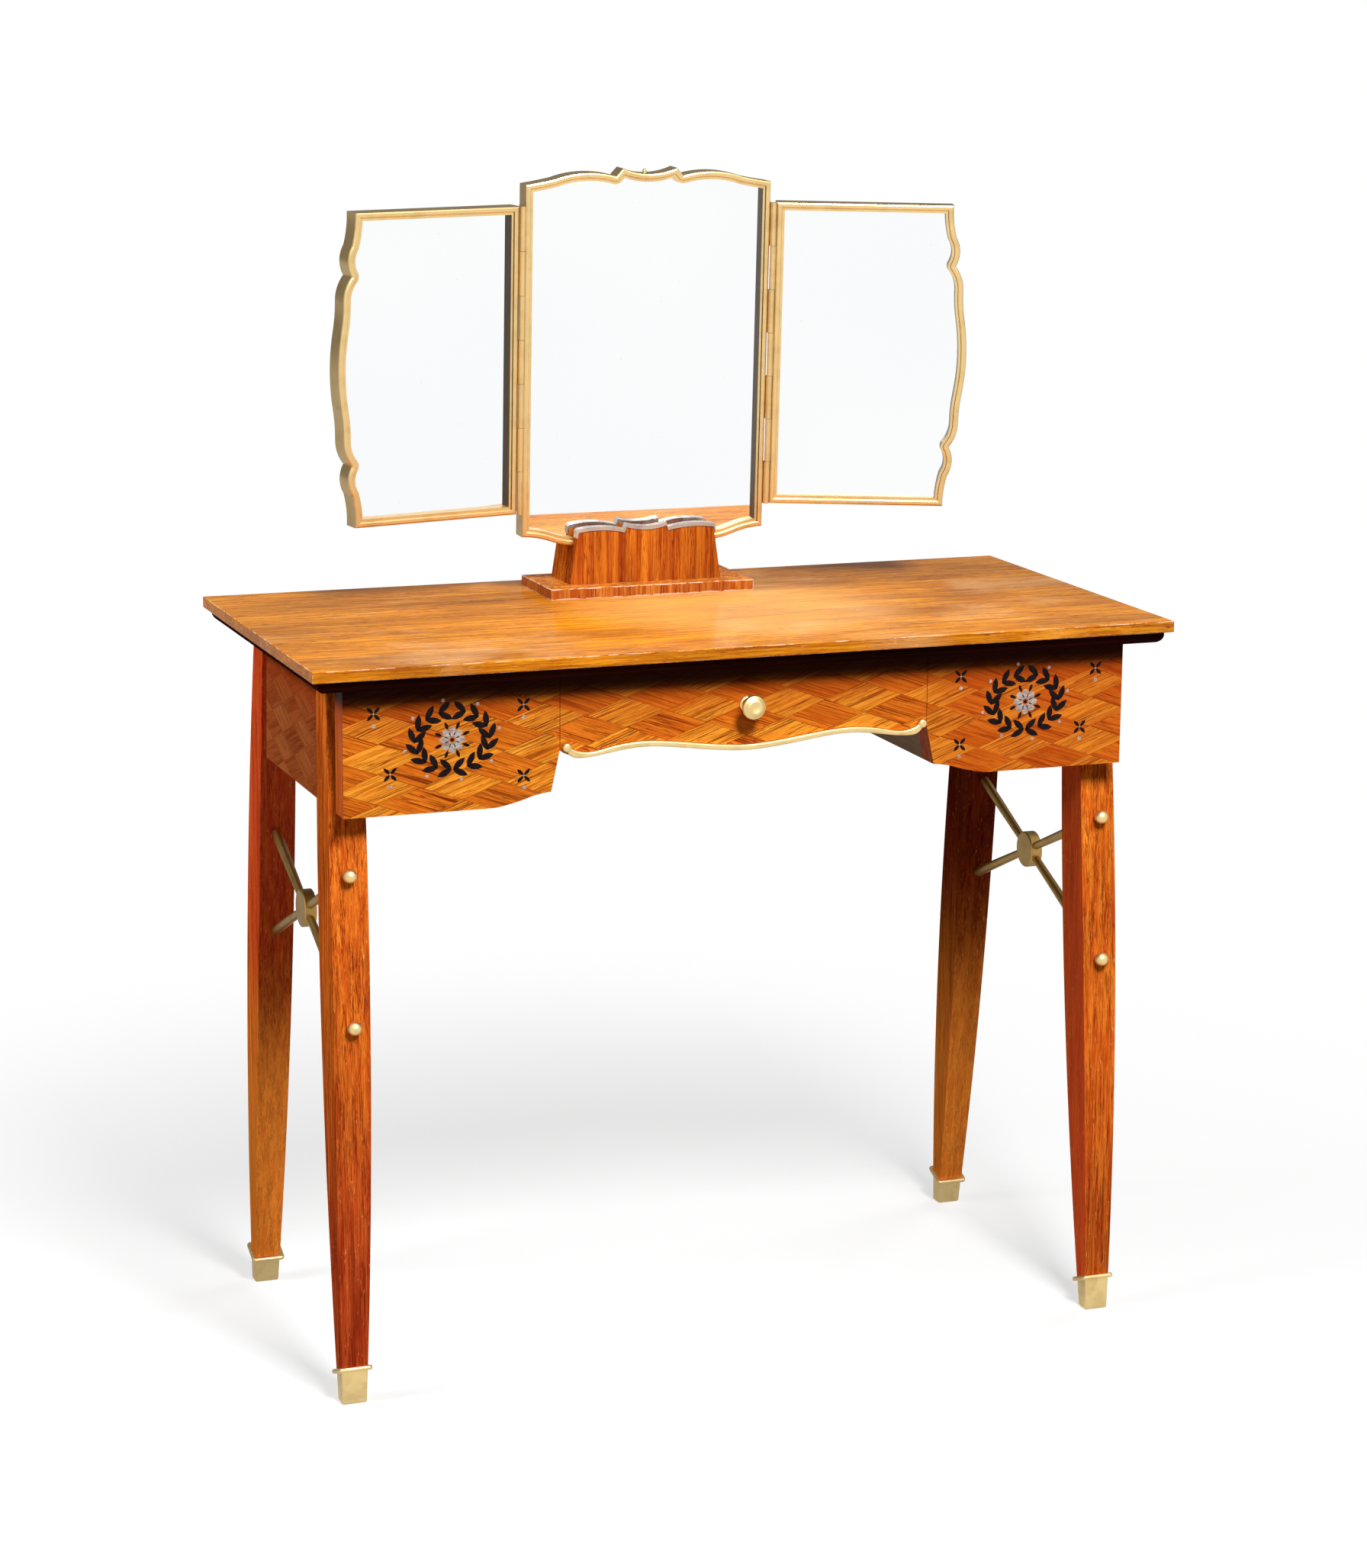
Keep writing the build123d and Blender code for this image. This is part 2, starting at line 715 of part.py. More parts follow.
apron_curl = apron_end - apron_valley
apron_neck = apron_end_at - apron_valley_at
with BuildPart() as apron_moulding:
    with BuildSketch(Plane.XZ.offset(front_face)):
        with BuildLine():
            lower = apron_points(apron_bar / 2)
            lower.append((apron_valley_at + 0.6 * apron_neck, lower[-1][1] + 0.12 * apron_curl))
            lower.append((apron_end_at + 0.1 * apron_ball, apron_end - 0.26 * apron_ball))
            upper = apron_points(-apron_bar / 2)
            upper.append((apron_valley_at + 0.4 * apron_neck, upper[-1][1] + 0.2 * apron_curl))
            upper.append((apron_end_at - 0.36 * apron_ball, apron_end))
            for row in (lower, upper):
                Spline(*mirrored_row(row))
            for s in (-1, 1):
                Line((s * lower[-1][0], lower[-1][1]), (s * upper[-1][0], upper[-1][1]))
        make_face()
    extrude(amount=apron_projection)
    long_edges = apron_moulding.edges().filter_by(lambda edge: edge.length > seam_half_width)
    fillet(long_edges.group_by(Axis.Y)[0], radius=min(apron_round, apron_bar / 3))
with BuildPart() as scroll_ends:
    with BuildSketch(Plane.XZ.offset(front_face)):
        with Locations((-apron_end_at, apron_end), (apron_end_at, apron_end)):
            Circle(apron_ball / 2)
    extrude(amount=apron_projection + apron_scroll_rise)
    fillet(scroll_ends.edges().group_by(Axis.Y)[0], radius=0.32 * apron_ball)
    add(apron_moulding.part)
save(scroll_ends.part, "apron_moulding")


# ---------------------------------------------------------------- legs and sabots
def collar_plane(side_x, side_y):
    """Middle plane of a sabot's collar: level across the table, higher on the leg's far side."""
    middle_y = (leg_y(side_y, "far", sabot_level) + leg_y(side_y, "near", sabot_level)) / 2
    middle_x = (leg_x(side_y, "outer", sabot_level) + leg_x(side_y, "inner", sabot_level)) / 2
    slope = radians(sabot_collar_slope)
    normal = Vector(0, -side_y * sin(slope), cos(slope))
    return Plane(origin=(side_x * middle_x, middle_y, sabot_level), x_dir=(1, 0, 0), z_dir=normal)


def foot_box(side_x, side_y):
    """Limits (x1, x2, y1, y2) of the leg's tenon inside its sabot."""
    top = sabot_level
    x1 = leg_x(side_y, "inner", 0) + sabot_wall
    x2 = leg_x(side_y, "outer", 0) - sabot_wall
    y1 = leg_y(side_y, "near", 0) + side_y * sabot_wall
    y2 = min(abs(leg_y(side_y, "far", 0)), abs(leg_y(side_y, "far", top))) - sabot_wall
    return side_x * x1, side_x * x2, y1, side_y * y2


def upright_edges(piece):
    """The four long edges of a leg or of its foot."""
    return [e for e in piece.edges() if abs(e.tangent_at(0.5).Z) > 0.9]


def leg(side_x, side_y, blank):
    """Post above the collar with a tenon for the sabot, a mortise for each panel and two rod holes."""
    plane = collar_plane(side_x, side_y)
    top_face = plane.offset(sabot_collar_thickness / 2)
    x1, x2, y1, y2 = foot_box(side_x, side_y)
    with BuildPart() as post:
        add(blank)
        split(bisect_by=top_face, keep=Keep.TOP)
        fillet(upright_edges(post), radius=leg_edge_ease)
        with BuildSketch(Plane.XY.offset(sabot_floor)):
            with Locations(((x1 + x2) / 2, (y1 + y2) / 2)):
                Rectangle(abs(x2 - x1), abs(y2 - y1))
        extrude(amount=2 * sabot_level)
        with Locations((side_x * end_panel_middle, 0, end_panel_centre)):
            Box(panel_thickness, 2 * end_panel_reach, case_top - front_bottom, mode=Mode.SUBTRACT)
        if side_y > 0:
            with BuildSketch(Plane.XZ.offset(-back_panel_face)):
                with Locations((0, (front_inner_bottom + case_top) / 2)):
                    Rectangle(2 * back_tenon_x, case_top - front_inner_bottom)
            extrude(amount=panel_thickness, mode=Mode.SUBTRACT)
        for rise in (-1, 1):
            with Locations(rod_axis(side_x, side_y, rise, 0)):
                hole = rod_shank_radius + shank_clearance
                align = (Align.CENTER, Align.CENTER, Align.MIN)
                Cylinder(hole, 2 * leg_far_foot, align=align, mode=Mode.SUBTRACT)
    return post.part


def sabot(side_x, side_y, blank):
    """Bronze shoe: the end of the leg's own shape, hollowed for the tenon, under a projecting collar."""
    plane = collar_plane(side_x, side_y)
    width = leg_x(side_y, "outer", sabot_level) - leg_x(side_y, "inner", sabot_level)
    depth = abs(leg_y(side_y, "far", sabot_level) - leg_y(side_y, "near", sabot_level))
    depth = depth / cos(radians(sabot_collar_slope))
    x1, x2, y1, y2 = foot_box(side_x, side_y)
    with BuildPart() as shoe:
        add(blank)
        split(bisect_by=plane, keep=Keep.BOTTOM)
        rounded = upright_edges(shoe) + list(shoe.edges().group_by(Axis.Z)[0])
        fillet(rounded, radius=sabot_edge_round)
        with BuildSketch(plane.offset(-sabot_collar_thickness / 2)):
            collar_depth = depth + 2 * sabot_collar_overhang
            RectangleRounded(width + 2 * sabot_collar_overhang, collar_depth, sabot_collar_overhang)
        extrude(amount=sabot_collar_thickness)
        outer = [e for e in shoe.edges() if on_rim(e, plane, width / 2 + 1.2, depth / 2 + 1.2)]
        fillet(outer, radius=0.46 * sabot_collar_thickness)
        with BuildSketch(Plane.XY.offset(sabot_floor)):
            with Locations(((x1 + x2) / 2, (y1 + y2) / 2)):
                Rectangle(abs(x2 - x1), abs(y2 - y1))
        extrude(amount=3 * sabot_level, mode=Mode.SUBTRACT)
    return shoe.part


def on_rim(edge, plane, half_x, half_y):
    """True for an edge of the collar that lies outside the given half sizes and in a face of the collar."""
    place = plane.to_local_coords(edge.center())
    start = plane.to_local_coords(edge.position_at(0))
    end = plane.to_local_coords(edge.position_at(1))
    in_face = abs(abs(start.Z) - sabot_collar_thickness / 2) < 0.01 and abs(start.Z - end.Z) < 0.01
    outside = abs(place.X) > half_x or abs(place.Y) > half_y
    return in_face and outside


for side_x, word_x in ((-1, "left"), (1, "right")):
    for side_y, word_y in ((-1, "front"), (1, "back")):
        shape = leg_blank(side_x, side_y)
        save(leg(side_x, side_y, shape), f"leg_{word_y}_{word_x}")
        save(sabot(side_x, side_y, shape), f"sabot_{word_y}_{word_x}")


# ---------------------------------------------------------------- cross stretchers
def rod(side_x, side_y, rise):
    """Turned rod: a plain end in the hub, a swelling body, a rounded end and a shank through the leg."""
    near, near_lean = rod_meets(side_y, rise, "near")
    far, far_lean = rod_meets(side_y, rise, "far")
    tilt = radians(abs(rise * rod_slope + near_lean))
    core = rod_leg_radius - rod_tip_round
    body_end = near - (core * sin(tilt) + rod_tip_round * (1 - cos(tilt))) / cos(tilt) - rod_fit
    start = hub_radius - rod_socket
    with BuildPart() as turned:
        with BuildSketch(Plane.XZ):
            with BuildLine():
                Polyline((0, start), (rod_hub_radius, start), (rod_hub_radius, hub_radius))
                Line((rod_hub_radius, hub_radius), (rod_leg_radius, body_end - rod_tip_round))
                ThreePointArc(
                    (rod_leg_radius, body_end - rod_tip_round),
                    (
                        core + rod_tip_round * sin(radians(45)),
                        body_end - rod_tip_round * (1 - cos(radians(45))),
                    ),
                    (core, body_end),
                )
                Polyline(
                    (core, body_end),
                    (rod_shank_radius, body_end),
                    (rod_shank_radius, far + ball_seat + ball_thread / 2),
                    (0, far + ball_seat + ball_thread / 2),
                    (0, start),
                )
            make_face()
        revolve(axis=Axis.Z)
    return rod_axis(side_x, side_y, rise, 0).location * turned.part


def ball_nut(side_x, side_y, rise):
    """Ball nut on the far face of a leg, flattened where it bears on the wood."""
    far, far_lean = rod_meets(side_y, rise, "far")
    lean = radians(far_lean)
    level = hub_level + rise * far * sin(rod_angle)
    normal = Vector(0, side_y * cos(lean), -sin(lean))
    seat = Plane(origin=(side_x * stretcher_x, side_y * far * cos(rod_angle), level), z_dir=normal)
    with BuildPart() as nut:
        with Locations(rod_axis(side_x, side_y, rise, far + ball_seat)):
            Sphere(ball_radius)
            Cylinder(rod_shank_radius, ball_thread, mode=Mode.SUBTRACT)
        with Locations(rod_axis(side_x, side_y, rise, far)):
            Cylinder(rod_shank_radius, 2 * ball_seat, mode=Mode.SUBTRACT)
        split(bisect_by=seat, keep=Keep.TOP)
    return nut.part


def hub(side_x):
    """Drum at the crossing, bored for the four rods."""
    with BuildPart() as drum:
        with Locations(Plane(origin=(side_x * stretcher_x, 0, hub_level), z_dir=(1, 0, 0))):
            Cylinder(hub_radius, hub_length)
        fillet(drum.edges().filter_by(GeomType.CIRCLE), radius=hub_round)
        for side_y in (-1, 1):
            for rise in (-1, 1):
                with Locations(rod_axis(side_x, side_y, rise, hub_radius)):
                    Cylinder(rod_hub_radius, 2 * rod_socket, mode=Mode.SUBTRACT)
    return drum.part


corners = [(side_y, rise) for side_y in (-1, 1) for rise in (-1, 1)]
nuts = []
for side, word in ((-1, "left"), (1, "right")):
    save(hub(side), f"hub_{word}")
    save(joined([rod(side, side_y, rise) for side_y, rise in corners]), f"stretcher_rods_{word}")
    nuts += [ball_nut(side, side_y, rise) for side_y, rise in corners]
save(joined(nuts), "ball_nuts")


# ---------------------------------------------------------------- mirror stand
block_slope = (block_half_bottom - block_half_top) / (block_top - block_foot)

with BuildPart() as stand_plinth:
    with Locations((0, (plinth_front + plinth_back) / 2, top_height + plinth_height / 2)):
        Box(2 * plinth_half_width, plinth_back - plinth_front, plinth_height)
    upper = stand_plinth.edges().filter_by(lambda e: e.center().Z > top_height + 0.1)
    fillet(upper, radius=plinth_ease)
save(stand_plinth.part, "stand_plinth")


def block_half(level):
    """Half width of the tapering block at a level."""
    return block_half_top + block_slope * (block_top - level)


def crest_half(lift):
    """Right half of the stand's scalloped top line, from the end inwards, as point rows for arcs."""
    arch_middle = (block_half_top + block_step_at) / 2
    arch = [
        (block_half_top, block_top + lift),
        (arch_middle, block_top + block_arch_rise + lift),
        (block_step_at, block_step_low + lift),
    ]
    dip = [
        (block_step_top_at, block_step_high + lift),
        (0.0, block_dip + lift),
    ]
    return arch, dip


def crest_line(lift):
    """Scalloped line from the right end to the left end of the block."""
    arch, dip = crest_half(lift)
    ThreePointArc(*arch)
    Line(arch[-1], dip[0])
    ThreePointArc(dip[0], dip[-1], (-dip[0][0], dip[0][1]))
    Line((-dip[0][0], dip[0][1]), (-arch[-1][0], arch[-1][1]))
    ThreePointArc(*[(-x, z) for x, z in reversed(arch)])


def fluted_plan(grow):
    """Plan of the block with three shallow lobes on the front, grown on the front and the sides."""
    half = block_half_bottom + grow
    third = 2 * half / 3
    front = block_front + flute_depth - grow
    ends = [(-half, front), (-half + third, front), (half - third, front), (half, front)]
    for a, b in zip(ends, ends[1:]):
        ThreePointArc(a, ((a[0] + b[0]) / 2, front - flute_depth), b)
    Polyline((half, front), (half, block_back), (-half, block_back), (-half, front))


slab_back = mirror_front - slot_clearance
with BuildPart() as stand_block:
    with BuildSketch(Plane.XZ.offset(-block_back)):
        with BuildLine():
            crest_line(0)
            arch, dip = crest_half(0)
            Polyline(
                (-block_half_top, block_top),
                (-block_half_bottom, block_foot),
                (block_half_bottom, block_foot),
                (block_half_top, block_top),
            )
        make_face()
    extrude(amount=block_back)
    with BuildSketch(Plane.XY.offset(block_foot)):
        with BuildLine():
            fluted_plan(0)
        make_face()
    extrude(amount=2 * block_back, mode=Mode.INTERSECT)
    with BuildSketch(mirror_plane.offset(slot_clearance)):
        with Locations((0, -mirror_sag + frame_depth)):
            Rectangle(4 * block_half_bottom, 2 * frame_depth)
    extrude(amount=-frame_depth - 2 * slot_clearance, mode=Mode.SUBTRACT)
    with Locations((0, block_back, block_top + 2 * cap_thickness)):
        Box(
            4 * block_half_bottom,
            2 * (block_back - mirror_front - frame_depth / 2),
            4 * cap_thickness,
            mode=Mode.SUBTRACT,
        )
save(stand_block.part, "stand_block")

with BuildPart() as stand_cap:
    with BuildSketch(Plane.XZ.offset(-slab_back)):
        with BuildLine():
            lip_low = block_top - cap_lip
            reach = block_half(lip_low) + cap_overhang
            crest_line(0)
            crest_line(cap_thickness)
            for s in (-1, 1):
                Polyline(
                    (s * block_half_top, block_top),
                    (s * block_half(lip_low), lip_low),
                    (s * reach, lip_low),
                    (s * reach, block_top + 0.5 * cap_thickness),
                    (s * block_half_top, block_top + cap_thickness),
                )
        make_face()
    extrude(amount=slab_back)
    with BuildSketch(Plane.XY.offset(block_foot)):
        with BuildLine():
            fluted_plan(cap_overhang)
        make_face()
    extrude(amount=2 * block_back, mode=Mode.INTERSECT)
    with BuildSketch(mirror_plane.offset(slot_clearance)):
        Rectangle(4 * block_half_bottom, 4 * frame_depth)
    extrude(amount=-frame_depth, mode=Mode.SUBTRACT)
save(stand_cap.part, "stand_cap")


# ---------------------------------------------------------------- centre mirror
def centre_outline():
    """Lines of the centre mirror's outline in its own plane."""
    for s in (-1, 1):
        Line((s * mirror_half_width, 0), (s * mirror_half_width, mirror_height))
        ThreePointArc(
            (s * mirror_half_width, mirror_height),
            (s * (mirror_half_width + crest_arch_start) / 2, mirror_height + crest_shoulder_rise),
            (s * crest_arch_start, crest_arch_start_height),
        )
        ThreePointArc(
            (s * crest_arch_start, crest_arch_start_height),
            (s * crest_arch_at, crest_arch_height),
            (s * crest_step_at, crest_step_low),
        )
        Line((s * crest_step_at, crest_step_low), (s * crest_step_top_at, crest_step_high))
        ThreePointArc(
            (s * mirror_half_width, 0),
            (s * 0.89 * mirror_half_width, -0.11 * mirror_sag),
            (s * 0.76 * mirror_half_width, -0.48 * mirror_sag),
        )
        ThreePointArc(
            (s * 0.76 * mirror_half_width, -0.48 * mirror_sag),
            (s * 0.63 * mirror_half_width, -0.86 * mirror_sag),
            (s * 0.5 * mirror_half_width, -mirror_sag),
        )
    ThreePointArc(
        (-crest_step_top_at, crest_step_high),
        (0, crest_dip),
        (crest_step_top_at, crest_step_high),
    )
    Line((-0.5 * mirror_half_width, -mirror_sag), (0.5 * mirror_half_width, -mirror_sag))


# ---------------------------------------------------------------- wing mirrors
def wing_plane(side, open_angle):
    """Front plane of a wing with its origin on the hinge axis line, at the foot of the mirror plane."""
    angle = radians(open_angle)
    axis_point = mirror_plane.origin + Vector(side * hinge_axis, 0, 0) + mirror_normal * hinge_proud
    front = mirror_normal * cos(angle) - Vector(side * sin(angle), 0, 0)
    across = Vector(cos(angle), 0, 0) + mirror_normal * (side * sin(angle))
    return Plane(origin=axis_point - front * hinge_proud, x_dir=across, z_dir=front)


def wing_outline(side):
    """Lines of a wing's scalloped outline in its own plane; the straight side is next to the hinge."""

    def at(w, t):
        return (side * w, wing_middle + t)

    Line(at(wing_side, -wing_half_height), at(wing_side, wing_half_height))
    swell = ThreePointArc(at(wing_swell, -wing_swell_at), at(wing_belly, 0), at(wing_swell, wing_swell_at))
    for t, start, leaving in ((-1, swell @ 0, swell % 0 * -1), (1, swell @ 1, swell % 1)):
        hollow = TangentArc(start, at(wing_shoulder, t * wing_shoulder_at), tangent=leaving)
        TangentArc(hollow @ 1, at(wing_cusp, t * wing_cusp_at), tangent=hollow % 1)
        ThreePointArc(
            at(wing_cusp, t * wing_cusp_at),
            at(wing_lobe, t * wing_lobe_at),
            at(wing_turn, t * wing_turn_at),
        )
        ThreePointArc(
            at(wing_turn, t * wing_turn_at),
            at(wing_waist, t * wing_waist_at),
            at(wing_corner, t * wing_half_height),
        )
        Line(at(wing_corner, t * wing_half_height), at(wing_side, t * wing_half_height))


# ---------------------------------------------------------------- frames, glasses, backboards
def shaped(plane, outline, rows):
    """Solid through a mirror's outline at several (depth behind the front plane, inset) stations."""
    with BuildPart() as body:
        for level, inset in rows:
            with BuildSketch(plane.offset(-level)):
                with BuildLine():
                    outline()
                make_face()
                if inset:
                    offset(amount=-inset, kind=Kind.ARC, mode=Mode.REPLACE)
        loft(ruled=True)
    return body.part


def slice_of(plane, outline, inset, level, thickness):
    """Plate with a mirror's outline moved inwards by "inset", from "level" behind the front plane."""
    with BuildPart() as plate:
        with BuildSketch(plane.offset(-level)):
            with BuildLine():
                outline()
            make_face()
            if inset:
                offset(amount=-inset, kind=Kind.ARC, mode=Mode.REPLACE)
        extrude(amount=-thickness)
    return plate.part


def frame(plane, outline):
    """Bronze frame: a rounded outer bead, a lower inner step, and a rebate open to the back."""
    r, i = frame_outer_round, frame_inner_round
    bead = [(r, 0), (0.3 * r, 0.3 * r), (0, r)]
    hollow = [
        (frame_inner_step, frame_bead),
        (i, frame_bead),
        (0.3 * i, frame_bead - 0.3 * i),
        (0, frame_bead - i),
    ]
    with BuildPart() as rim:
        add(slice_of(plane, outline, 0, r, frame_depth - r))
        add(shaped(plane, outline, bead))
        add(shaped(plane, outline, hollow), mode=Mode.SUBTRACT)
        add(slice_of(plane, outline, frame_width, 0, frame_depth), mode=Mode.SUBTRACT)
        add(slice_of(plane, outline, glass_inset, glass_level, frame_depth), mode=Mode.SUBTRACT)
    return rim.part


mirrors = (
    ("mirror", mirror_plane, centre_outline),
    ("wing_left", wing_plane(-1, left_wing_open), lambda: wing_outline(-1)),
    ("wing_right", wing_plane(1, right_wing_open), lambda: wing_outline(1)),
)
backboard_level = glass_level + glass_thickness
for word, plane, outline in mirrors:
    inset = glass_inset + backboard_clearance
    save(frame(plane, outline), f"{word}_frame")
    save(slice_of(plane, outline, inset, glass_level, glass_thickness), f"{word}_glass")
    save(slice_of(plane, outline, inset, backboard_level, backboard_thickness), f"{word}_back")


# ---------------------------------------------------------------- piano hinges
hinge_length = 2 * wing_half_height
knuckle_pitch = hinge_length / hinge_knuckles
hinge_foot = wing_middle - wing_half_height


def hinge_leaf_piece(plane, face_x, axis_x, remainder):
    """Leaf against a frame's side with its share of the knuckles; the plane's origin height is the foot."""
    toward = 1 if axis_x > face_x else -1
    with BuildPart() as leaf:
        with BuildSketch(plane):
            with Locations((face_x + toward * hinge_leaf / 2, wing_middle)):
                Rectangle(hinge_leaf, hinge_length)
        extrude(amount=-frame_depth + hinge_leaf_margin)
        with BuildSketch(plane):
            with Locations((face_x, wing_middle)):
                Rectangle(20 * hinge_leaf, 2 * hinge_length)
        extrude(amount=-hinge_radius - hinge_proud, mode=Mode.SUBTRACT)
        for index in range(hinge_knuckles):
            if index % 2 == remainder:
                low = hinge_foot + index * knuckle_pitch + hinge_knuckle_gap / 2
                long = knuckle_pitch - hinge_knuckle_gap
                with BuildSketch(plane.offset(hinge_proud)):
                    with Locations((face_x + toward * hinge_web / 2, low + long / 2)):
                        Rectangle(hinge_web, long)
                extrude(amount=-2 * hinge_radius - hinge_proud)
                seat = plane.offset(hinge_proud).location * Location((axis_x, low, 0), (-90, 0, 0))
                with Locations(seat):
                    align = (Align.CENTER, Align.CENTER, Align.MIN)
                    Cylinder(hinge_radius, long, align=align)
                    bore = hinge_pin_radius + hinge_pin_clearance
                    Cylinder(bore, long, align=align, mode=Mode.SUBTRACT)
    return leaf.part


pins = []
for side, word, angle in ((-1, "left", left_wing_open), (1, "right", right_wing_open)):
    still = hinge_leaf_piece(mirror_plane, side * mirror_half_width, side * hinge_axis, 0)
    save(still, f"hinge_{word}_fixed")
    plane = wing_plane(side, angle)
    save(hinge_leaf_piece(plane, side * wing_side, 0, 1), f"hinge_{word}_moving")
    with BuildPart() as pin:
        seat = mirror_plane.offset(hinge_proud).location
        seat = seat * Location((side * hinge_axis, hinge_foot, 0), (-90, 0, 0))
        with Locations(seat):
            align = (Align.CENTER, Align.CENTER, Align.MIN)
            Cylinder(hinge_pin_radius, hinge_length, align=align)
    pins.append(pin.part)
save(joined(pins), "hinge_pins")
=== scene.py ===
"""Finishes, marquetry, studio and camera for the poudreuse dressing table.

Lengths are in metres. +X is to the right of the front, -Y is towards the sitter and +Z is up.
Colours are linear red, green and blue.
"""

import math

import bpy
from mathutils import Matrix, Vector


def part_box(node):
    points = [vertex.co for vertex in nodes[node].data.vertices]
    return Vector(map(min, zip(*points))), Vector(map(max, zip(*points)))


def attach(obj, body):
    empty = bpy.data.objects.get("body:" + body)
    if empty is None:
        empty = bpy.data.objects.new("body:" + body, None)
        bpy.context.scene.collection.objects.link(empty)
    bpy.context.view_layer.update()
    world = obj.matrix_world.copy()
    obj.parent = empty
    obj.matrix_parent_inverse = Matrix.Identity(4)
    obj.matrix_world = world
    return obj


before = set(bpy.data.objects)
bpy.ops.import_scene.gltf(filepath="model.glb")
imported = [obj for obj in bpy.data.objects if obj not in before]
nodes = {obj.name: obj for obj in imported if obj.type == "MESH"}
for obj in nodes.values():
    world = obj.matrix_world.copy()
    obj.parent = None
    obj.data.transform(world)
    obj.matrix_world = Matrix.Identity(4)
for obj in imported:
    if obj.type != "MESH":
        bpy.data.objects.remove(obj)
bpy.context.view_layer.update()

# ---------------------------------------------------------------- places taken from the table
front_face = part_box("centre_drawer_front")[0].y
front_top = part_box("centre_drawer_front")[1].z
# where the fronts get a painted shadow just under the moulding and painted shade above it
painted_shadow_foot = front_top - 0.028
painted_shadow_head = front_top - 0.008
shade_foot = painted_shadow_foot - 0.036
shade_head = painted_shadow_foot + 0.010
lozenge_centre_x = 0.0419
lozenge_centre_z = 0.6793
lozenge_length = 0.08375
lozenge_height = 0.030
flute_place = 0.0255
flute_rim = 0.009
flute_floor = 0.001
# where the painted reflection of the mirror lies on the top
reflection_middle_x = 0.06
reflection_reach_squared = 0.045


# ---------------------------------------------------------------- node helpers
def fill(tree, socket, value):
    """Joins another node's output to a socket, or writes a plain value in it."""
    if isinstance(value, bpy.types.NodeSocket):
        tree.links.new(value, socket)
    elif value is not None:
        if getattr(socket, "type", "") == "RGBA" and len(value) == 3:
            value = (*value, 1.0)
        socket.default_value = value


def add_node(tree, kind, inputs=(), out=0, **settings):
    """Adds one node. Inputs are given in order, or by name in a dict. Returns the chosen output."""
    made = tree.nodes.new(kind)
    for name, value in settings.items():
        setattr(made, name, value)
    pairs = inputs.items() if isinstance(inputs, dict) else enumerate(inputs)
    for key, value in pairs:
        fill(tree, made.inputs[key], value)
    return made.outputs[out]


def maths(tree, operation, *values, clamp=False):
    return add_node(tree, "ShaderNodeMath", values, operation=operation, use_clamp=clamp)


def times(tree, first, second):
    return maths(tree, "MULTIPLY", first, second)


def less(tree, first, second):
    return maths(tree, "SUBTRACT", first, second)


def vector_maths(tree, operation, *values, out=0):
    return add_node(tree, "ShaderNodeVectorMath", values, out=out, operation=operation)


def mix_colour(tree, amount, first, second):
    made = tree.nodes.new("ShaderNodeMix")
    made.data_type = "RGBA"
    fill(tree, made.inputs[0], amount)
    fill(tree, made.inputs[6], first)
    fill(tree, made.inputs[7], second)
    return made.outputs[2]


def tint(tree, colour, mask, strength, target):
    """Moves a colour towards a target by a mask times a strength."""
    return mix_colour(tree, times(tree, mask, strength), colour, target)


def spread(tree, value, low, high, to_low=0.0, to_high=1.0):
    """Maps low..high smoothly to to_low..to_high, held at the ends."""
    values = {"Value": value, "From Min": low, "From Max": high, "To Min": to_low, "To Max": to_high}
    return add_node(tree, "ShaderNodeMapRange", values, interpolation_type="SMOOTHSTEP", clamp=True)


def cloud(tree, vector, scale=1.0, detail=2.0, roughness=0.5, distortion=0.0):
    """Noise at one scale, or at a scale for each direction."""
    if not isinstance(scale, float):
        vector = vector_maths(tree, "MULTIPLY", vector, scale)
        scale = 1.0
    values = {"Vector": vector, "Scale": scale, "Detail": detail}
    values.update({"Roughness": roughness, "Distortion": distortion})
    return add_node(tree, "ShaderNodeTexNoise", values)


def new_group(name, inputs, outputs):
    """A shader group. Inputs are (name, kind, value) and outputs are (name, kind)."""
    tree = bpy.data.node_groups.new(name, "ShaderNodeTree")
    for label, kind, value in inputs:
        socket = tree.interface.new_socket(label, in_out="INPUT", socket_type=f"NodeSocket{kind}")
        if value is not None:
            socket.default_value = (*value, 1.0) if kind == "Color" else value
    for label, kind in outputs:
        tree.interface.new_socket(label, in_out="OUTPUT", socket_type=f"NodeSocket{kind}")
    return tree, tree.nodes.new("NodeGroupInput").outputs, tree.nodes.new("NodeGroupOutput").inputs


def use_group(tree, group, **inputs):
    """Places a group and returns its outputs. Spaces in an input's name are written as underscores."""
    made = tree.nodes.new("ShaderNodeGroup")
    made.node_tree = group
    for name, value in inputs.items():
        fill(tree, made.inputs[name.replace("_", " ")], value)
    return made.outputs


def new_finish(name, roughness=0.4, metallic=0.0, coat=0.0, specular=0.5):
    """A material with one Principled BSDF, and its tree."""
    material = bpy.data.materials.new(name)
    material.use_nodes = True
    tree = material.node_tree
    shader = tree.nodes["Principled BSDF"]
    shader.inputs["Roughness"].default_value = roughness
    shader.inputs["Metallic"].default_value = metallic
    shader.inputs["Coat Weight"].default_value = coat
    shader.inputs["Coat Roughness"].default_value = 0.05
    shader.inputs["Specular IOR Level"].default_value = specular
    return material, tree, shader


def object_place(tree):
    return add_node(tree, "ShaderNodeTexCoord", out="Object")


def object_normal(tree):
    return add_node(tree, "ShaderNodeTexCoord", out="Normal")


def axes(tree, vector):
    """The three parts of a vector."""
    made = tree.nodes.new("ShaderNodeSeparateXYZ")
    fill(tree, made.inputs[0], vector)
    return made.outputs[0], made.outputs[1], made.outputs[2]


def vector_of(tree, x, y, z):
    return add_node(tree, "ShaderNodeCombineXYZ", (x, y, z))


def relief(tree, shader, height, strength, distance=0.0004):
    """Feeds a height into the shader's normal."""
    values = {"Strength": strength, "Distance": distance, "Height": height}
    fill(tree, shader.inputs["Normal"], add_node(tree, "ShaderNodeBump", values))


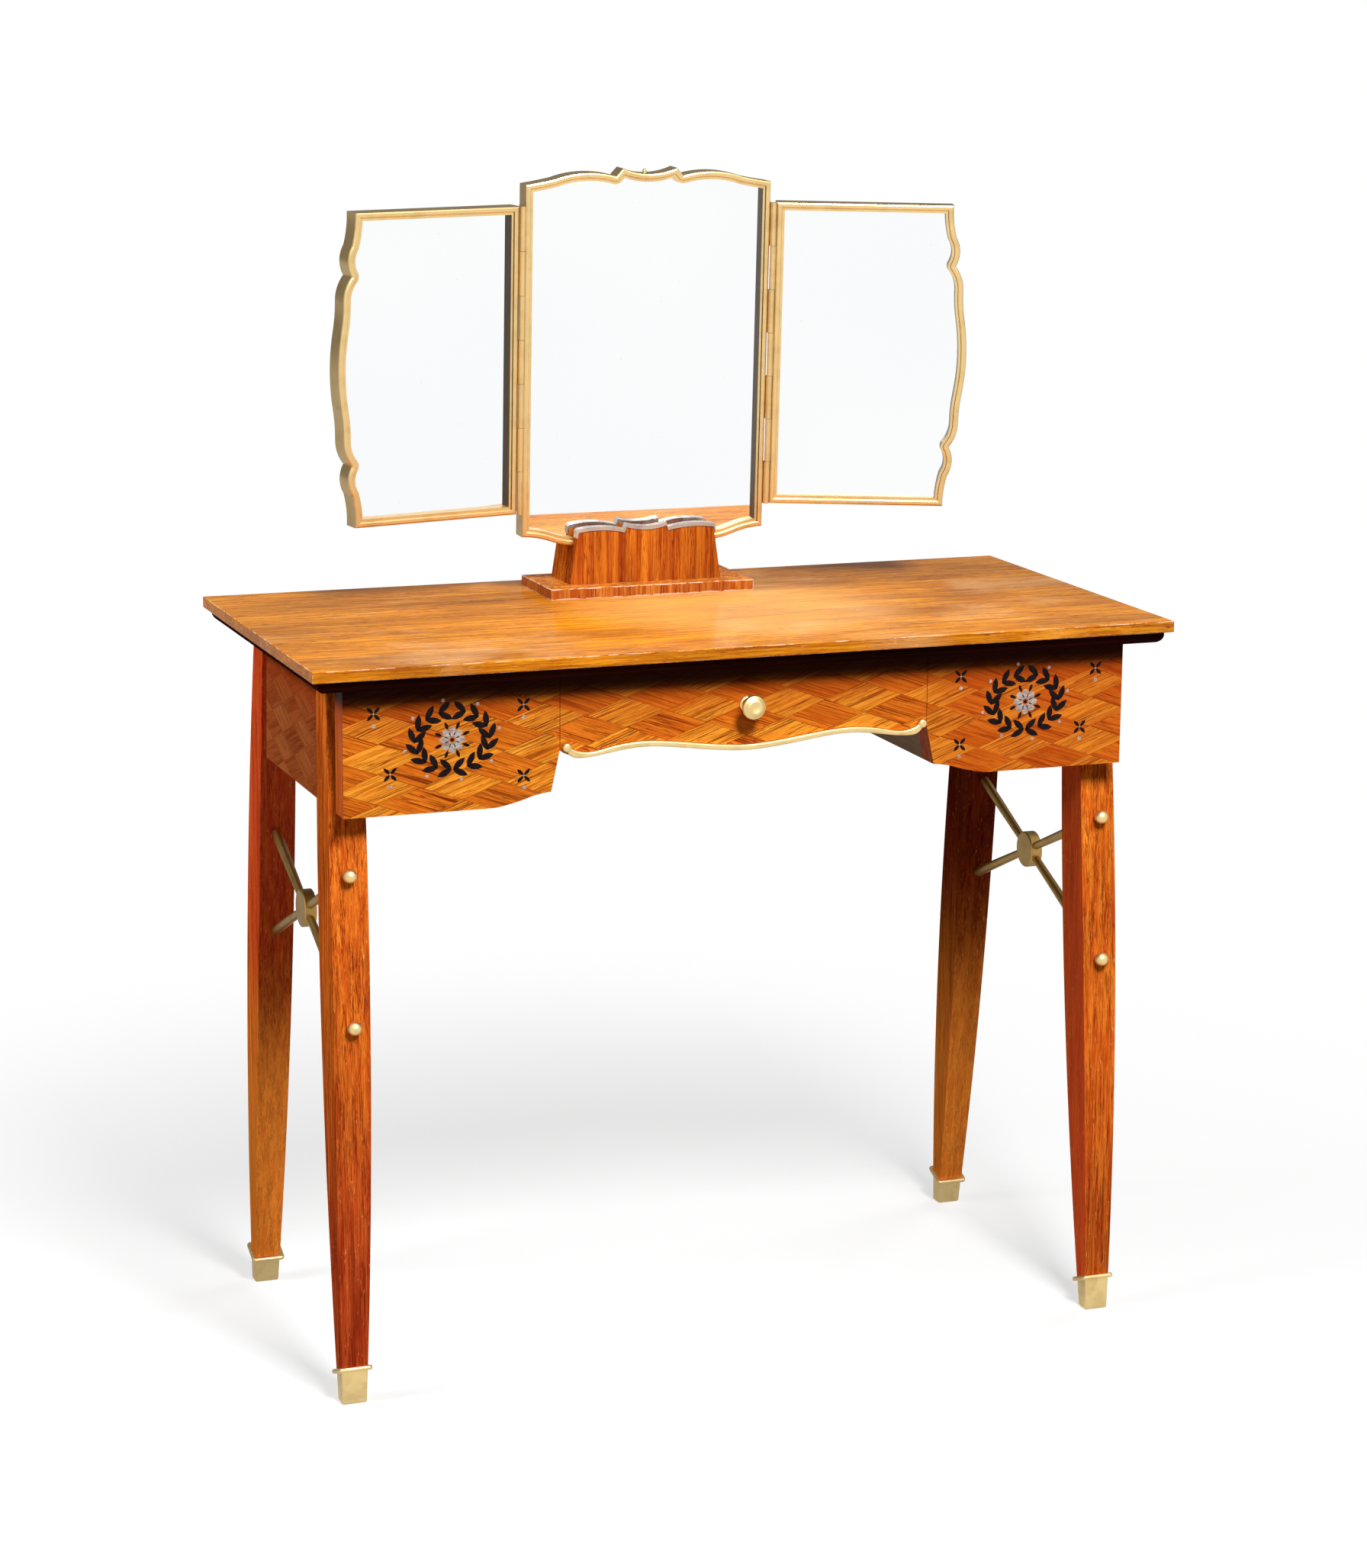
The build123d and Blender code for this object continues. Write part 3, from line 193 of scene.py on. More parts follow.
# ---------------------------------------------------------------- shared effects
def make_wood_figure():
    """Veneer with broad stripes, fine dark pores and a slow drift of tone. X runs along the grain."""
    inputs = [
        ("Grain", "Vector", None),
        ("Pale", "Color", (0.8, 0.3, 0.05)),
        ("Body", "Color", (0.5, 0.12, 0.01)),
        ("Dark", "Color", (0.1, 0.01, 0.002)),
        ("Stripe width", "Float", 0.006),
        ("Pore strength", "Float", 0.6),
        ("Drift", "Float", 0.3),
        ("Line strength", "Float", 0.5),
    ]
    outputs = [("Colour", "Color"), ("Sheen loss", "Float"), ("Relief", "Float")]
    tree, given, result = new_group("wood_figure", inputs, outputs)
    grain = given["Grain"]

    def marks(scale, detail, roughness, distortion, low, high):
        """A mask of noise drawn out along the grain, none at low and full at high."""
        return spread(tree, cloud(tree, grain, scale, detail, roughness, distortion), low, high)

    across = maths(tree, "DIVIDE", 1.0, given["Stripe width"])
    along = times(tree, across, 0.045)
    stripe_mask = marks(vector_of(tree, along, across, across), 5.0, 0.68, 0.15, 0.38, 0.62)
    line_mask = marks((12.0, 780.0, 780.0), 3.0, 0.7, 0.04, 0.47, 0.61)
    pore_mask = marks((85.0, 1350.0, 1350.0), 1.5, 0.5, 0.0, 0.55, 0.66)
    streak_mask = marks((7.0, 320.0, 320.0), 2.0, 0.6, 0.1, 0.56, 0.70)
    cluster_mask = marks((10.0, 150.0, 150.0), 2.0, 0.5, 0.2, 0.40, 0.62)
    glow_mask = marks((42.0, 600.0, 600.0), 2.0, 0.6, 0.0, 0.50, 0.68)
    drift_mask = marks((5.0, 22.0, 22.0), 2.0, 0.5, 0.4, 0.34, 0.66)

    colour = mix_colour(tree, stripe_mask, given["Body"], given["Pale"])
    colour = tint(tree, colour, glow_mask, 0.45, given["Pale"])
    gathered = maths(tree, "MULTIPLY_ADD", cluster_mask, 0.6, 0.4)
    line = times(tree, times(tree, line_mask, gathered), given["Line strength"])
    streak = times(tree, streak_mask, times(tree, given["Line strength"], 0.75))
    pore = times(tree, times(tree, pore_mask, gathered), given["Pore strength"])
    mark = maths(tree, "MAXIMUM", maths(tree, "MAXIMUM", line, streak), pore)
    colour = mix_colour(tree, mark, colour, given["Dark"])
    colour = tint(tree, colour, less(tree, 1.0, drift_mask), given["Drift"], given["Dark"])
    fill(tree, result["Colour"], colour)
    fill(tree, result["Sheen loss"], mark)
    fill(tree, result["Relief"], less(tree, 1.0, mark))
    return tree


def make_lozenges(wood_figure):
    """Interlaced lozenges on a flat face. Each one's grain runs along its own band."""
    inputs = [
        ("Across", "Float", 0.0),
        ("Up", "Float", 0.0),
        ("Gold pale", "Color", (0.8, 0.3, 0.05)),
        ("Gold body", "Color", (0.6, 0.17, 0.01)),
        ("Red pale", "Color", (0.6, 0.16, 0.01)),
        ("Red body", "Color", (0.4, 0.06, 0.005)),
        ("Dark", "Color", (0.1, 0.01, 0.002)),
        ("Pore strength", "Float", 0.6),
        ("Line strength", "Float", 0.6),
        ("Joint", "Float", 0.42),
    ]
    outputs = [("Colour", "Color"), ("Sheen loss", "Float"), ("Relief", "Float")]
    tree, given, result = new_group("interlaced_lozenges", inputs, outputs)
    across, up = given["Across"], given["Up"]
    wander = cloud(tree, vector_of(tree, across, up, 0.0), 9.0, 1.0)
    wander = times(tree, less(tree, wander, 0.5), 0.10)
    side = maths(tree, "DIVIDE", across, lozenge_length)
    rise = maths(tree, "ADD", maths(tree, "DIVIDE", up, lozenge_height), wander)
    first = maths(tree, "ADD", side, rise)
    second = less(tree, side, rise)
    first_cell = maths(tree, "ROUND", first)
    second_cell = maths(tree, "ROUND", second)
    is_red = maths(tree, "PINGPONG", maths(tree, "ADD", first_cell, second_cell), 1.0)

    # within a lozenge the grain leans one way or the other
    turn = less(tree, 1.0, times(tree, is_red, 2.0))
    sway_place = vector_of(tree, times(tree, first_cell, 7.3), times(tree, second_cell, 3.1), 2.0)
    sway = times(tree, less(tree, cloud(tree, sway_place), 0.5), 0.22)
    lean = maths(tree, "ADD", times(tree, turn, lozenge_height / lozenge_length), sway)
    long_way = maths(tree, "ADD", across, times(tree, up, lean))
    cross_way = less(tree, up, times(tree, across, lean))
    cell = vector_of(tree, first_cell, second_cell, 0.0)
    chance = add_node(tree, "ShaderNodeTexWhiteNoise", {"Vector": cell}, noise_dimensions="3D")
    grain = vector_of(tree, long_way, cross_way, times(tree, chance, 3.0))

    pale = mix_colour(tree, is_red, given["Gold pale"], given["Red pale"])
    body = mix_colour(tree, is_red, given["Gold body"], given["Red body"])
    body = tint(tree, body, chance, 0.45, pale)
    figure = use_group(tree, wood_figure, Grain=grain, Pale=pale, Body=body, Dark=given["Dark"],
                       Stripe_width=0.0038, Pore_strength=given["Pore strength"], Drift=0.16,
                       Line_strength=given["Line strength"])

    # the fine dark glue line between lozenges
    first_edge = maths(tree, "ABSOLUTE", less(tree, first, first_cell))
    second_edge = maths(tree, "ABSOLUTE", less(tree, second, second_cell))
    edge = maths(tree, "MAXIMUM", first_edge, second_edge)
    joint = times(tree, spread(tree, edge, 0.482, 0.5), given["Joint"])
    fill(tree, result["Colour"], mix_colour(tree, joint, figure["Colour"], given["Dark"]))
    fill(tree, result["Sheen loss"], figure["Sheen loss"])
    fill(tree, result["Relief"], less(tree, figure["Relief"], joint))
    return tree


def make_nicks():
    """Sparse pale chips in the varnish."""
    inputs = [("Place", "Vector", None), ("Amount", "Float", 0.5)]
    tree, given, result = new_group("varnish_nicks", inputs, [("Mask", "Float")])
    chips = cloud(tree, given["Place"], 150.0, 3.0, 0.7)
    limit = less(tree, 0.86, times(tree, given["Amount"], 0.12))
    fill(tree, result["Mask"], maths(tree, "GREATER_THAN", chips, limit))
    return tree


def make_worn_edges():
    """Pale ragged lines where the varnish is rubbed off the edges of a box-shaped board."""
    inputs = [
        ("Place", "Vector", None),
        ("Low", "Vector", None),
        ("High", "Vector", None),
        ("Width", "Float", 0.001),
    ]
    tree, given, result = new_group("worn_edges", inputs, [("Mask", "Float")])
    place = given["Place"]
    from_low = vector_maths(tree, "SUBTRACT", place, given["Low"])
    from_high = vector_maths(tree, "SUBTRACT", given["High"], place)
    a, b, c = axes(tree, vector_maths(tree, "MINIMUM", from_low, from_high))

    # the second smallest of the three distances is the distance from an edge
    inner = maths(tree, "MINIMUM", maths(tree, "MAXIMUM", a, b), c)
    from_edge = maths(tree, "MAXIMUM", maths(tree, "MINIMUM", a, b), inner)
    ragged = spread(tree, cloud(tree, place, 70.0, 4.0, 0.7), 0.36, 0.60)
    width = times(tree, given["Width"], ragged)
    fill(tree, result["Mask"], maths(tree, "LESS_THAN", from_edge, width))
    return tree


def make_age():
    """Brown stains and rubbed patches on gilding."""
    inputs = [("Place", "Vector", None), ("Amount", "Float", 0.5)]
    outputs = [("Stain", "Float"), ("Rub", "Float"), ("Relief", "Float")]
    tree, given, result = new_group("gilding_age", inputs, outputs)
    place = given["Place"]
    blotches = cloud(tree, place, 26.0, 4.0, 0.62, 0.5)
    specks = cloud(tree, place, 240.0, 3.0, 0.6)
    stain = times(tree, spread(tree, blotches, 0.50, 0.72), 0.8)
    speck = times(tree, spread(tree, specks, 0.58, 0.72), 0.35)
    both = maths(tree, "ADD", stain, speck, clamp=True)
    fill(tree, result["Stain"], times(tree, both, given["Amount"]))
    fill(tree, result["Rub"], spread(tree, cloud(tree, place, 60.0, 2.0), 0.45, 0.70))
    fill(tree, result["Relief"], specks)
    return tree


wood_figure = make_wood_figure()
lozenges = make_lozenges(wood_figure)
nicks = make_nicks()
worn_edges = make_worn_edges()
age = make_age()
nick_colour = (0.78, 0.62, 0.46)


# ---------------------------------------------------------------- wood finishes
def facing(tree, axis, low, high):
    """How far a face looks along one axis, whichever way."""
    part = axes(tree, object_normal(tree))[axis]
    return spread(tree, maths(tree, "ABSOLUTE", part), low, high)


def on_upright(tree):
    """1 on upright faces and 0 on level ones."""
    return less(tree, 1.0, facing(tree, 2, 0.6, 0.8))


def varnish(tree, shader, colour, figure, place, nick_amount, smooth, rough, bump):
    """Colour, chips, roughness and pores of a varnished veneer."""
    nick = use_group(tree, nicks, Place=place, Amount=nick_amount)["Mask"]
    fill(tree, shader.inputs["Base Color"], mix_colour(tree, nick, colour, nick_colour))
    dulling = times(tree, figure["Sheen loss"], rough - smooth)
    fill(tree, shader.inputs["Roughness"], maths(tree, "ADD", smooth, dulling))
    relief(tree, shader, figure["Relief"], bump)


def paint_flute_shade(tree, place, colour, flutes):
    """Painted shade in two upright hollows, each at the given distance from the middle."""
    across = maths(tree, "ABSOLUTE", axes(tree, place)[0])
    from_flute = maths(tree, "ABSOLUTE", less(tree, across, flutes))
    flute_shade = spread(tree, from_flute, flute_rim, flute_floor, 0.0, 0.55)
    return mix_colour(tree, flute_shade, colour, (0.20, 0.022, 0.005))


def haze_and_painted_reflection(tree, place, colour, haze):
    """Cloudy patches, a painted reflection as a paler middle, and fine scratches that are strongest in the
    patches.
    """
    x, y, _ = axes(tree, place)
    mist = spread(tree, cloud(tree, place, (5.0, 9.0, 1.0), 4.0, 0.6, 0.3), 0.50, 0.72)
    colour = tint(tree, colour, mist, haze, (0.96, 0.62, 0.32))
    # painted reflection: a paler middle on the top
    right = less(tree, x, reflection_middle_x)
    from_middle = maths(tree, "ADD", times(tree, right, right), times(tree, y, y))
    painted_reflection = spread(tree, from_middle, reflection_reach_squared, 0.0, 0.0, 0.32)
    colour = mix_colour(tree, painted_reflection, colour, (0.99, 0.58, 0.22))
    scratches = spread(tree, cloud(tree, place, (75.0, 420.0, 420.0), 3.0, 0.6), 0.64, 0.70, 0.0, 0.6)
    scratches = times(tree, scratches, maths(tree, "MULTIPLY_ADD", mist, 0.7, 0.3))
    return mix_colour(tree, scratches, colour, (0.98, 0.72, 0.45))


def wear_board(tree, place, colour, board, rim, rub):
    """Darker upright faces and rubbed edges on a box-shaped board."""
    low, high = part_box(board)
    colour = tint(tree, colour, on_upright(tree), rim, (0.26, 0.034, 0.005))
    rubbed = use_group(tree, worn_edges, Place=place, Low=tuple(low), High=tuple(high), Width=rub)["Mask"]
    return tint(tree, colour, rubbed, 0.65, nick_colour)


def straight_veneer(name, along, tones, stripe=0.009, pores=0.6, drift=0.3, nick=0.3, lines=0.5,
                    specular=0.12, roughness=(0.28, 0.5), bump=0.25, board=None, rub=0.001, rim=0.0,
                    flutes=None, haze=0.0):
    """Veneer in pale, body and dark tones whose grain runs along X, Y or Z."""
    material, tree, shader = new_finish(name, specular=specular)
    place = object_place(tree)
    x, y, z = axes(tree, place)
    grain = {"X": (x, z, y), "Y": (y, z, x), "Z": (z, x, y)}[along]
    pale, body, dark = tones
    figure = use_group(tree, wood_figure, Grain=vector_of(tree, *grain), Pale=pale, Body=body, Dark=dark,
                       Stripe_width=stripe, Pore_strength=pores, Drift=drift, Line_strength=lines)
    colour = figure["Colour"]
    if flutes:
        colour = paint_flute_shade(tree, place, colour, flutes)
    if haze:
        colour = haze_and_painted_reflection(tree, place, colour, haze)
    if board:
        colour = wear_board(tree, place, colour, board, rim, rub)
    varnish(tree, shader, colour, figure, place, nick, *roughness, bump)
    return material


def leg_veneer():
    """Upright grain, golden in front, red brown at the sides and redder towards the feet, with painted
    shade and light on the back legs and painted light on the front right leg's inner face.
    """
    material, tree, shader = new_finish("leg_rosewood", specular=0.0)
    place = object_place(tree)
    x, y, z = axes(tree, place)
    grain = vector_of(tree, z, x, y)
    gold = use_group(tree, wood_figure, Grain=grain, Pale=(0.92, 0.245, 0.020), Body=(0.64, 0.098, 0.008),
                     Dark=(0.11, 0.008, 0.003), Stripe_width=0.0052, Pore_strength=0.75, Drift=0.25,
                     Line_strength=0.8)
    red = use_group(tree, wood_figure, Grain=grain, Pale=(0.64, 0.095, 0.018), Body=(0.44, 0.036, 0.008),
                    Dark=(0.09, 0.007, 0.003), Stripe_width=0.0052, Pore_strength=0.7, Drift=0.25,
                    Line_strength=0.8)
    side = facing(tree, 0, 0.45, 0.8)
    behind = maths(tree, "GREATER_THAN", y, 0.0)
    front = less(tree, 1.0, behind)

    # redder towards the feet, most on the front left leg and less on the back ones
    front_left = less(tree, times(tree, y, -1.5), x)
    low = spread(tree, z, 0.50, 0.10)
    low = maths(tree, "MAXIMUM", low, spread(tree, front_left, 0.35, 0.60, 0.0, 0.25))
    low = times(tree, low, less(tree, 1.0, times(tree, behind, 0.7)))
    low = times(tree, low, spread(tree, front_left, -0.1, 0.5, 0.42, 1.0))

    # painted shade: the back legs are red higher up, the right one more than the left
    high = times(tree, spread(tree, z, 0.20, 0.48), behind)
    high = times(tree, high, spread(tree, x, -0.1, 0.1, 0.55, 1.0))
    to_red = maths(tree, "MAXIMUM", times(tree, side, 0.25), low)
    to_red = maths(tree, "MAXIMUM", to_red, high)
    colour = mix_colour(tree, to_red, gold["Colour"], red["Colour"])

    # painted light: the front right leg's inner face is brightened and reddened
    inner = times(tree, spread(tree, axes(tree, object_normal(tree))[0], -0.5, -0.85), front)
    inner = times(tree, inner, maths(tree, "GREATER_THAN", x, 0.0))
    colour = tint(tree, colour, inner, 0.55, (1.0, 0.10, 0.03))

    # painted light and shade behind: the right leg is painted dark above and the left one ruddy above, and
    # both are painted paler below where light reaches them
    colour = tint(tree, colour, high, spread(tree, x, 0.0, 0.1, 0.0, 0.55), (0.05, 0.005, 0.004))
    colour = tint(tree, colour, high, spread(tree, x, 0.0, -0.1, 0.0, 0.5), (0.98, 0.05, 0.03))
    colour = tint(tree, colour, behind, spread(tree, z, 0.40, 0.20, 0.0, 0.33), (1.0, 0.34, 0.045))
    flecks = cloud(tree, place, (650.0, 650.0, 90.0), 2.0, 0.6)
    colour = mix_colour(tree, spread(tree, flecks, 0.66, 0.72, 0.0, 0.5), colour, (0.92, 0.42, 0.11))
    varnish(tree, shader, colour, gold, place, nick_amount=0.75, smooth=0.26, rough=0.5, bump=0.3)
    return material


def parquetry(name, plane, tones, edge_tones, pores, lines, joint, specular):
    """Lozenges on the show face, upright veneer on the edges, and a painted shadow just under the moulding.
    """
    material, tree, shader = new_finish(name, specular=specular)
    place = object_place(tree)
    x, y, z = axes(tree, place)
    across = less(tree, x if plane == "Y" else y, lozenge_centre_x)
    up = less(tree, z, lozenge_centre_z)
    gold_pale, gold_body, red_pale, red_body, dark = tones
    show = use_group(tree, lozenges, Across=across, Up=up, Gold_pale=gold_pale, Gold_body=gold_body,
                     Red_pale=red_pale, Red_body=red_body, Dark=dark, Pore_strength=pores,
                     Line_strength=lines, Joint=joint)
    pale, body = edge_tones
    edge = use_group(tree, wood_figure, Grain=vector_of(tree, z, x, y), Pale=pale, Body=body, Dark=dark,
                     Stripe_width=0.007, Pore_strength=0.5, Drift=0.2, Line_strength=0.5)
    is_show = facing(tree, 1 if plane == "Y" else 0, 0.6, 0.8)
    colour = mix_colour(tree, is_show, edge["Colour"], show["Colour"])

    # darker to the right, painted shade above, and a painted shadow just under the moulding
    colour = tint(tree, colour, spread(tree, x, 0.16, 0.24), 0.36, (0.42, 0.045, 0.005))
    upright = on_upright(tree)
    shade = spread(tree, z, shade_foot, shade_head, 0.0, 0.45)
    colour = tint(tree, colour, shade, upright, (0.34, 0.030, 0.003))
    painted_shadow = spread(tree, z, painted_shadow_foot, painted_shadow_head, 0.0, 0.96)
    colour = tint(tree, colour, painted_shadow, upright, (0.024, 0.003, 0.001))
    varnish(tree, shader, colour, show, place, nick_amount=0.42, smooth=0.27, rough=0.5, bump=0.35)
    return material


def bare_wood(name, along, tones):
    """Unpolished carcase and drawer linings."""
    return straight_veneer(name, along, tones, stripe=0.016, pores=0.35, drift=0.2, nick=0.0, lines=0.25,
                           roughness=(0.55, 0.75), bump=0.4)


# lozenges: gold pale, gold body, red pale, red body, dark; their edges: pale, body
front_tones = ((0.96, 0.365, 0.032), (0.70, 0.165, 0.007), (0.80, 0.210, 0.014), (0.55, 0.090, 0.004),
               (0.12, 0.010, 0.002))
front_edge_tones = ((0.80, 0.18, 0.022), (0.55, 0.085, 0.011))
end_tones = ((0.46, 0.125, 0.034), (0.35, 0.080, 0.019), (0.40, 0.095, 0.023), (0.29, 0.054, 0.013),
             (0.09, 0.014, 0.004))
end_edge_tones = ((0.30, 0.07, 0.014), (0.20, 0.03, 0.008))

# plain woods: pale, body, dark
top_tones = ((0.93, 0.36, 0.014), (0.63, 0.178, 0.004), (0.13, 0.022, 0.002))
block_tones = ((0.72, 0.21, 0.018), (0.42, 0.075, 0.008), (0.10, 0.010, 0.003))
plinth_tones = ((0.92, 0.37, 0.06), (0.54, 0.12, 0.012), (0.12, 0.012, 0.003))
moulding_tones = ((0.050, 0.008, 0.004), (0.022, 0.005, 0.003), (0.006, 0.002, 0.002))
oak_tones = ((0.42, 0.26, 0.13), (0.32, 0.18, 0.085), (0.14, 0.07, 0.03))
lining_tones = ((0.68, 0.46, 0.25), (0.56, 0.34, 0.165), (0.26, 0.13, 0.055))
mirror_board_tones = ((0.30, 0.17, 0.085), (0.21, 0.11, 0.05), (0.09, 0.04, 0.02))
ebony_tones = ((0.016, 0.008, 0.008), (0.008, 0.004, 0.004), (0.003, 0.002, 0.002))

finishes = {
    "top": straight_veneer("top_rosewood", "X", top_tones, stripe=0.0030, pores=1.0, drift=0.40, nick=0.80,
                           lines=0.75, specular=0.038, roughness=(0.12, 0.26), bump=0.06, board="top_board",
                           rub=0.0007, rim=0.22, haze=0.24),
    "legs": leg_veneer(),
    "fronts": parquetry("front_parquetry", "Y", front_tones, front_edge_tones, pores=0.8, lines=0.95,
                        joint=0.50, specular=0.02),
    "ends": parquetry("end_parquetry", "X", end_tones, end_edge_tones, pores=0.6, lines=0.6, joint=0.25,
                      specular=0.0),
    "block": straight_veneer("stand_rosewood", "Z", block_tones, stripe=0.0060, pores=0.85, drift=0.35,
                             nick=0.4, lines=0.6, specular=0.0, flutes=flute_place),
    "plinth": straight_veneer("plinth_rosewood", "Z", plinth_tones, stripe=0.006, pores=0.8, drift=0.25,
                              nick=0.6, lines=0.9, specular=0.04, board="stand_plinth", rub=0.0011,
                              rim=0.50),
    "moulding": straight_veneer("dark_moulding", "X", moulding_tones, stripe=0.012, pores=0.5, drift=0.3,
                                nick=0.35, specular=0.0),
    "carcase": bare_wood("carcase_oak", "X", oak_tones),
    "carcase_deep": bare_wood("carcase_oak_deep", "Y", oak_tones),
    "lining": bare_wood("drawer_lining", "Y", lining_tones),
    "lining_cross": bare_wood("drawer_lining_cross", "X", lining_tones),
    "mirror_board": bare_wood("mirror_board", "Z", mirror_board_tones),
    "ebony": straight_veneer("inlay_ebony", "Z", ebony_tones, stripe=0.004, pores=0.5, drift=0.2, nick=0.0,
                             specular=0.05, roughness=(0.25, 0.4), bump=0.1),
}


# ---------------------------------------------------------------- metal, glass and pearl finishes
fine_relief = 0.0002


def gilding(name, gold, shade, stain_amount, roughness, rebate_of=None):
    """Pale worn gilding on bronze, browner where it is handled. A mirror frame's rebate is dark."""
    material, tree, shader = new_finish(name, metallic=1.0, roughness=roughness)
    place = object_place(tree)
    worn = use_group(tree, age, Place=place, Amount=stain_amount)
    colour = tint(tree, gold, worn["Rub"], 0.35, shade)
    colour = mix_colour(tree, worn["Stain"], colour, (0.20, 0.105, 0.035))
    if rebate_of:
        low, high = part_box(rebate_of)
        across = axes(tree, vector_maths(tree, "SUBTRACT", place, tuple((low + high) / 2)))[0]
        facing_x = axes(tree, object_normal(tree))[0]
        outward = times(tree, facing_x, maths(tree, "SIGN", across))
        rebate = spread(tree, outward, -0.72, -0.88)
        colour = mix_colour(tree, rebate, colour, (0.055, 0.034, 0.014))
    fill(tree, shader.inputs["Base Color"], colour)
    dulling = times(tree, worn["Stain"], 0.25)
    fill(tree, shader.inputs["Roughness"], maths(tree, "ADD", roughness, dulling))
    relief(tree, shader, worn["Relief"], 0.12, fine_relief)
    return material


def silvering():
    """Silver that is tarnished in places."""
    material, tree, shader = new_finish("cap_silver", metallic=1.0, roughness=0.3)
    worn = use_group(tree, age, Place=object_place(tree), Amount=0.8)
    colour = mix_colour(tree, worn["Stain"], (0.52, 0.47, 0.43), (0.13, 0.09, 0.07))
    fill(tree, shader.inputs["Base Color"], colour)
    fill(tree, shader.inputs["Roughness"], maths(tree, "ADD", 0.26, times(tree, worn["Rub"], 0.2)))
    relief(tree, shader, worn["Relief"], 0.15, fine_relief)
    return material


def plain_steel():
    material, tree, shader = new_finish("steel_pins", metallic=1.0, roughness=0.35)
    worn = use_group(tree, age, Place=object_place(tree), Amount=0.35)
    colour = mix_colour(tree, worn["Stain"], (0.50, 0.49, 0.47), (0.18, 0.13, 0.10))
    fill(tree, shader.inputs["Base Color"], colour)
    relief(tree, shader, worn["Relief"], 0.1, fine_relief)
    return material


def silvered_glass():
    """Mirror plate with a faint cool cast and a few specks in the silver."""
    material, tree, shader = new_finish("mirror_plate", metallic=1.0, roughness=0.015)
    place = object_place(tree)
    specks = spread(tree, cloud(tree, place, 300.0, 2.0), 0.74, 0.80)
    cast = spread(tree, cloud(tree, place, 3.0, 1.0), 0.3, 0.7)
    clear = mix_colour(tree, cast, (0.94, 0.955, 0.965), (0.97, 0.975, 0.975))
    colour = tint(tree, clear, specks, 0.25, (0.45, 0.42, 0.40))
    fill(tree, shader.inputs["Base Color"], colour)
    return material


def mother_of_pearl():
    """Grey brown shell with soft streaks of pink and green."""
    material, tree, shader = new_finish("inlay_pearl", metallic=0.15, roughness=0.22, coat=0.5)
    place = object_place(tree)
    flow = cloud(tree, place, (160.0, 160.0, 420.0), 3.0, 0.6, 1.2)
    shimmer = cloud(tree, place, 90.0, 1.0, 0.5, 0.8)
    colour = mix_colour(tree, spread(tree, flow, 0.32, 0.68), (0.20, 0.13, 0.10), (0.52, 0.42, 0.37))
    colour = mix_colour(tree, spread(tree, shimmer, 0.55, 0.75, 0.0, 0.4), colour, (0.40, 0.46, 0.40))
    colour = mix_colour(tree, spread(tree, shimmer, 0.45, 0.25, 0.0, 0.4), colour, (0.60, 0.40, 0.38))
    fill(tree, shader.inputs["Base Color"], colour)
    relief(tree, shader, flow, 0.1, fine_relief)
    return material


finishes.update({
    "bronze": gilding("gilt_bronze", (0.84, 0.62, 0.28), (0.66, 0.43, 0.15), stain_amount=0.30,
                      roughness=0.40),
    "rods": gilding("gilt_rods", (0.52, 0.33, 0.10), (0.38, 0.22, 0.06), stain_amount=0.45,
                    roughness=0.40),
    "frames": gilding("gilt_frames", (0.78, 0.55, 0.25), (0.60, 0.39, 0.14), stain_amount=0.22,
                      roughness=0.34),
    "silver": silvering(),
    "steel": plain_steel(),
    "mirror": silvered_glass(),
    "pearl": mother_of_pearl(),
})


# ---------------------------------------------------------------- finishes on the table's own parts
def dress(finish, *names):
    for name in names:
        node = nodes[name]
        node.data.materials.clear()
        node.data.materials.append(finishes[finish])


dress("top", "top_board")
dress("legs", "leg_front_left", "leg_front_right", "leg_back_left", "leg_back_right")
dress("fronts", "left_drawer_front", "centre_drawer_front", "right_drawer_front")
dress("ends", "end_panel_left", "end_panel_right")
dress("block", "stand_block")
dress("plinth", "stand_plinth")
dress("moulding", "moulding_front", "moulding_back", "moulding_ends")
dress("carcase", "back_panel", "subtop_panel", "drawer_stops")
dress("carcase_deep", "partition_left", "partition_right", "bay_bottom_left", "bay_bottom_centre",
      "bay_bottom_right", "drawer_guides")
for drawer in ("left_drawer", "centre_drawer", "right_drawer"):
    dress("lining", f"{drawer}_sides", f"{drawer}_bottom")
    dress("lining_cross", f"{drawer}_back")
dress("mirror_board", "mirror_back", "wing_left_back", "wing_right_back")
dress("frames", "hinge_left_fixed", "hinge_left_moving", "hinge_right_fixed", "hinge_right_moving")
for mirror in ("mirror", "wing_left", "wing_right"):
    gilt = f"{mirror}_gilt"
    finishes[gilt] = gilding(gilt, (0.80, 0.57, 0.26), (0.62, 0.40, 0.14), stain_amount=0.18,
                             roughness=0.32, rebate_of=f"{mirror}_frame")
    dress(gilt, f"{mirror}_frame")
dress("bronze", "knob", "apron_moulding", "sabot_front_left", "sabot_front_right", "sabot_back_left",
      "sabot_back_right", "ball_nuts")
dress("rods", "hub_left", "hub_right", "stretcher_rods_left", "stretcher_rods_right")
dress("steel", "knob_screw", "hinge_pins")
dress("silver", "stand_cap")
dress("mirror", "mirror_glass", "wing_left_glass", "wing_right_glass")


# ---------------------------------------------------------------- marquetry inlay and crest bead
inlay_thickness = 0.0003
inlay_sunk = 0.0001


def pick(piece, test):
    """Selects in edit mode only the vertices whose place passes the test."""
    bpy.ops.object.mode_set(mode="OBJECT")
    for face in piece.data.polygons:
        face.select = False
    for edge in piece.data.edges:
        edge.select = False
    for vertex in piece.data.vertices:
        vertex.select = test(vertex.co)
    bpy.ops.object.mode_set(mode="EDIT")


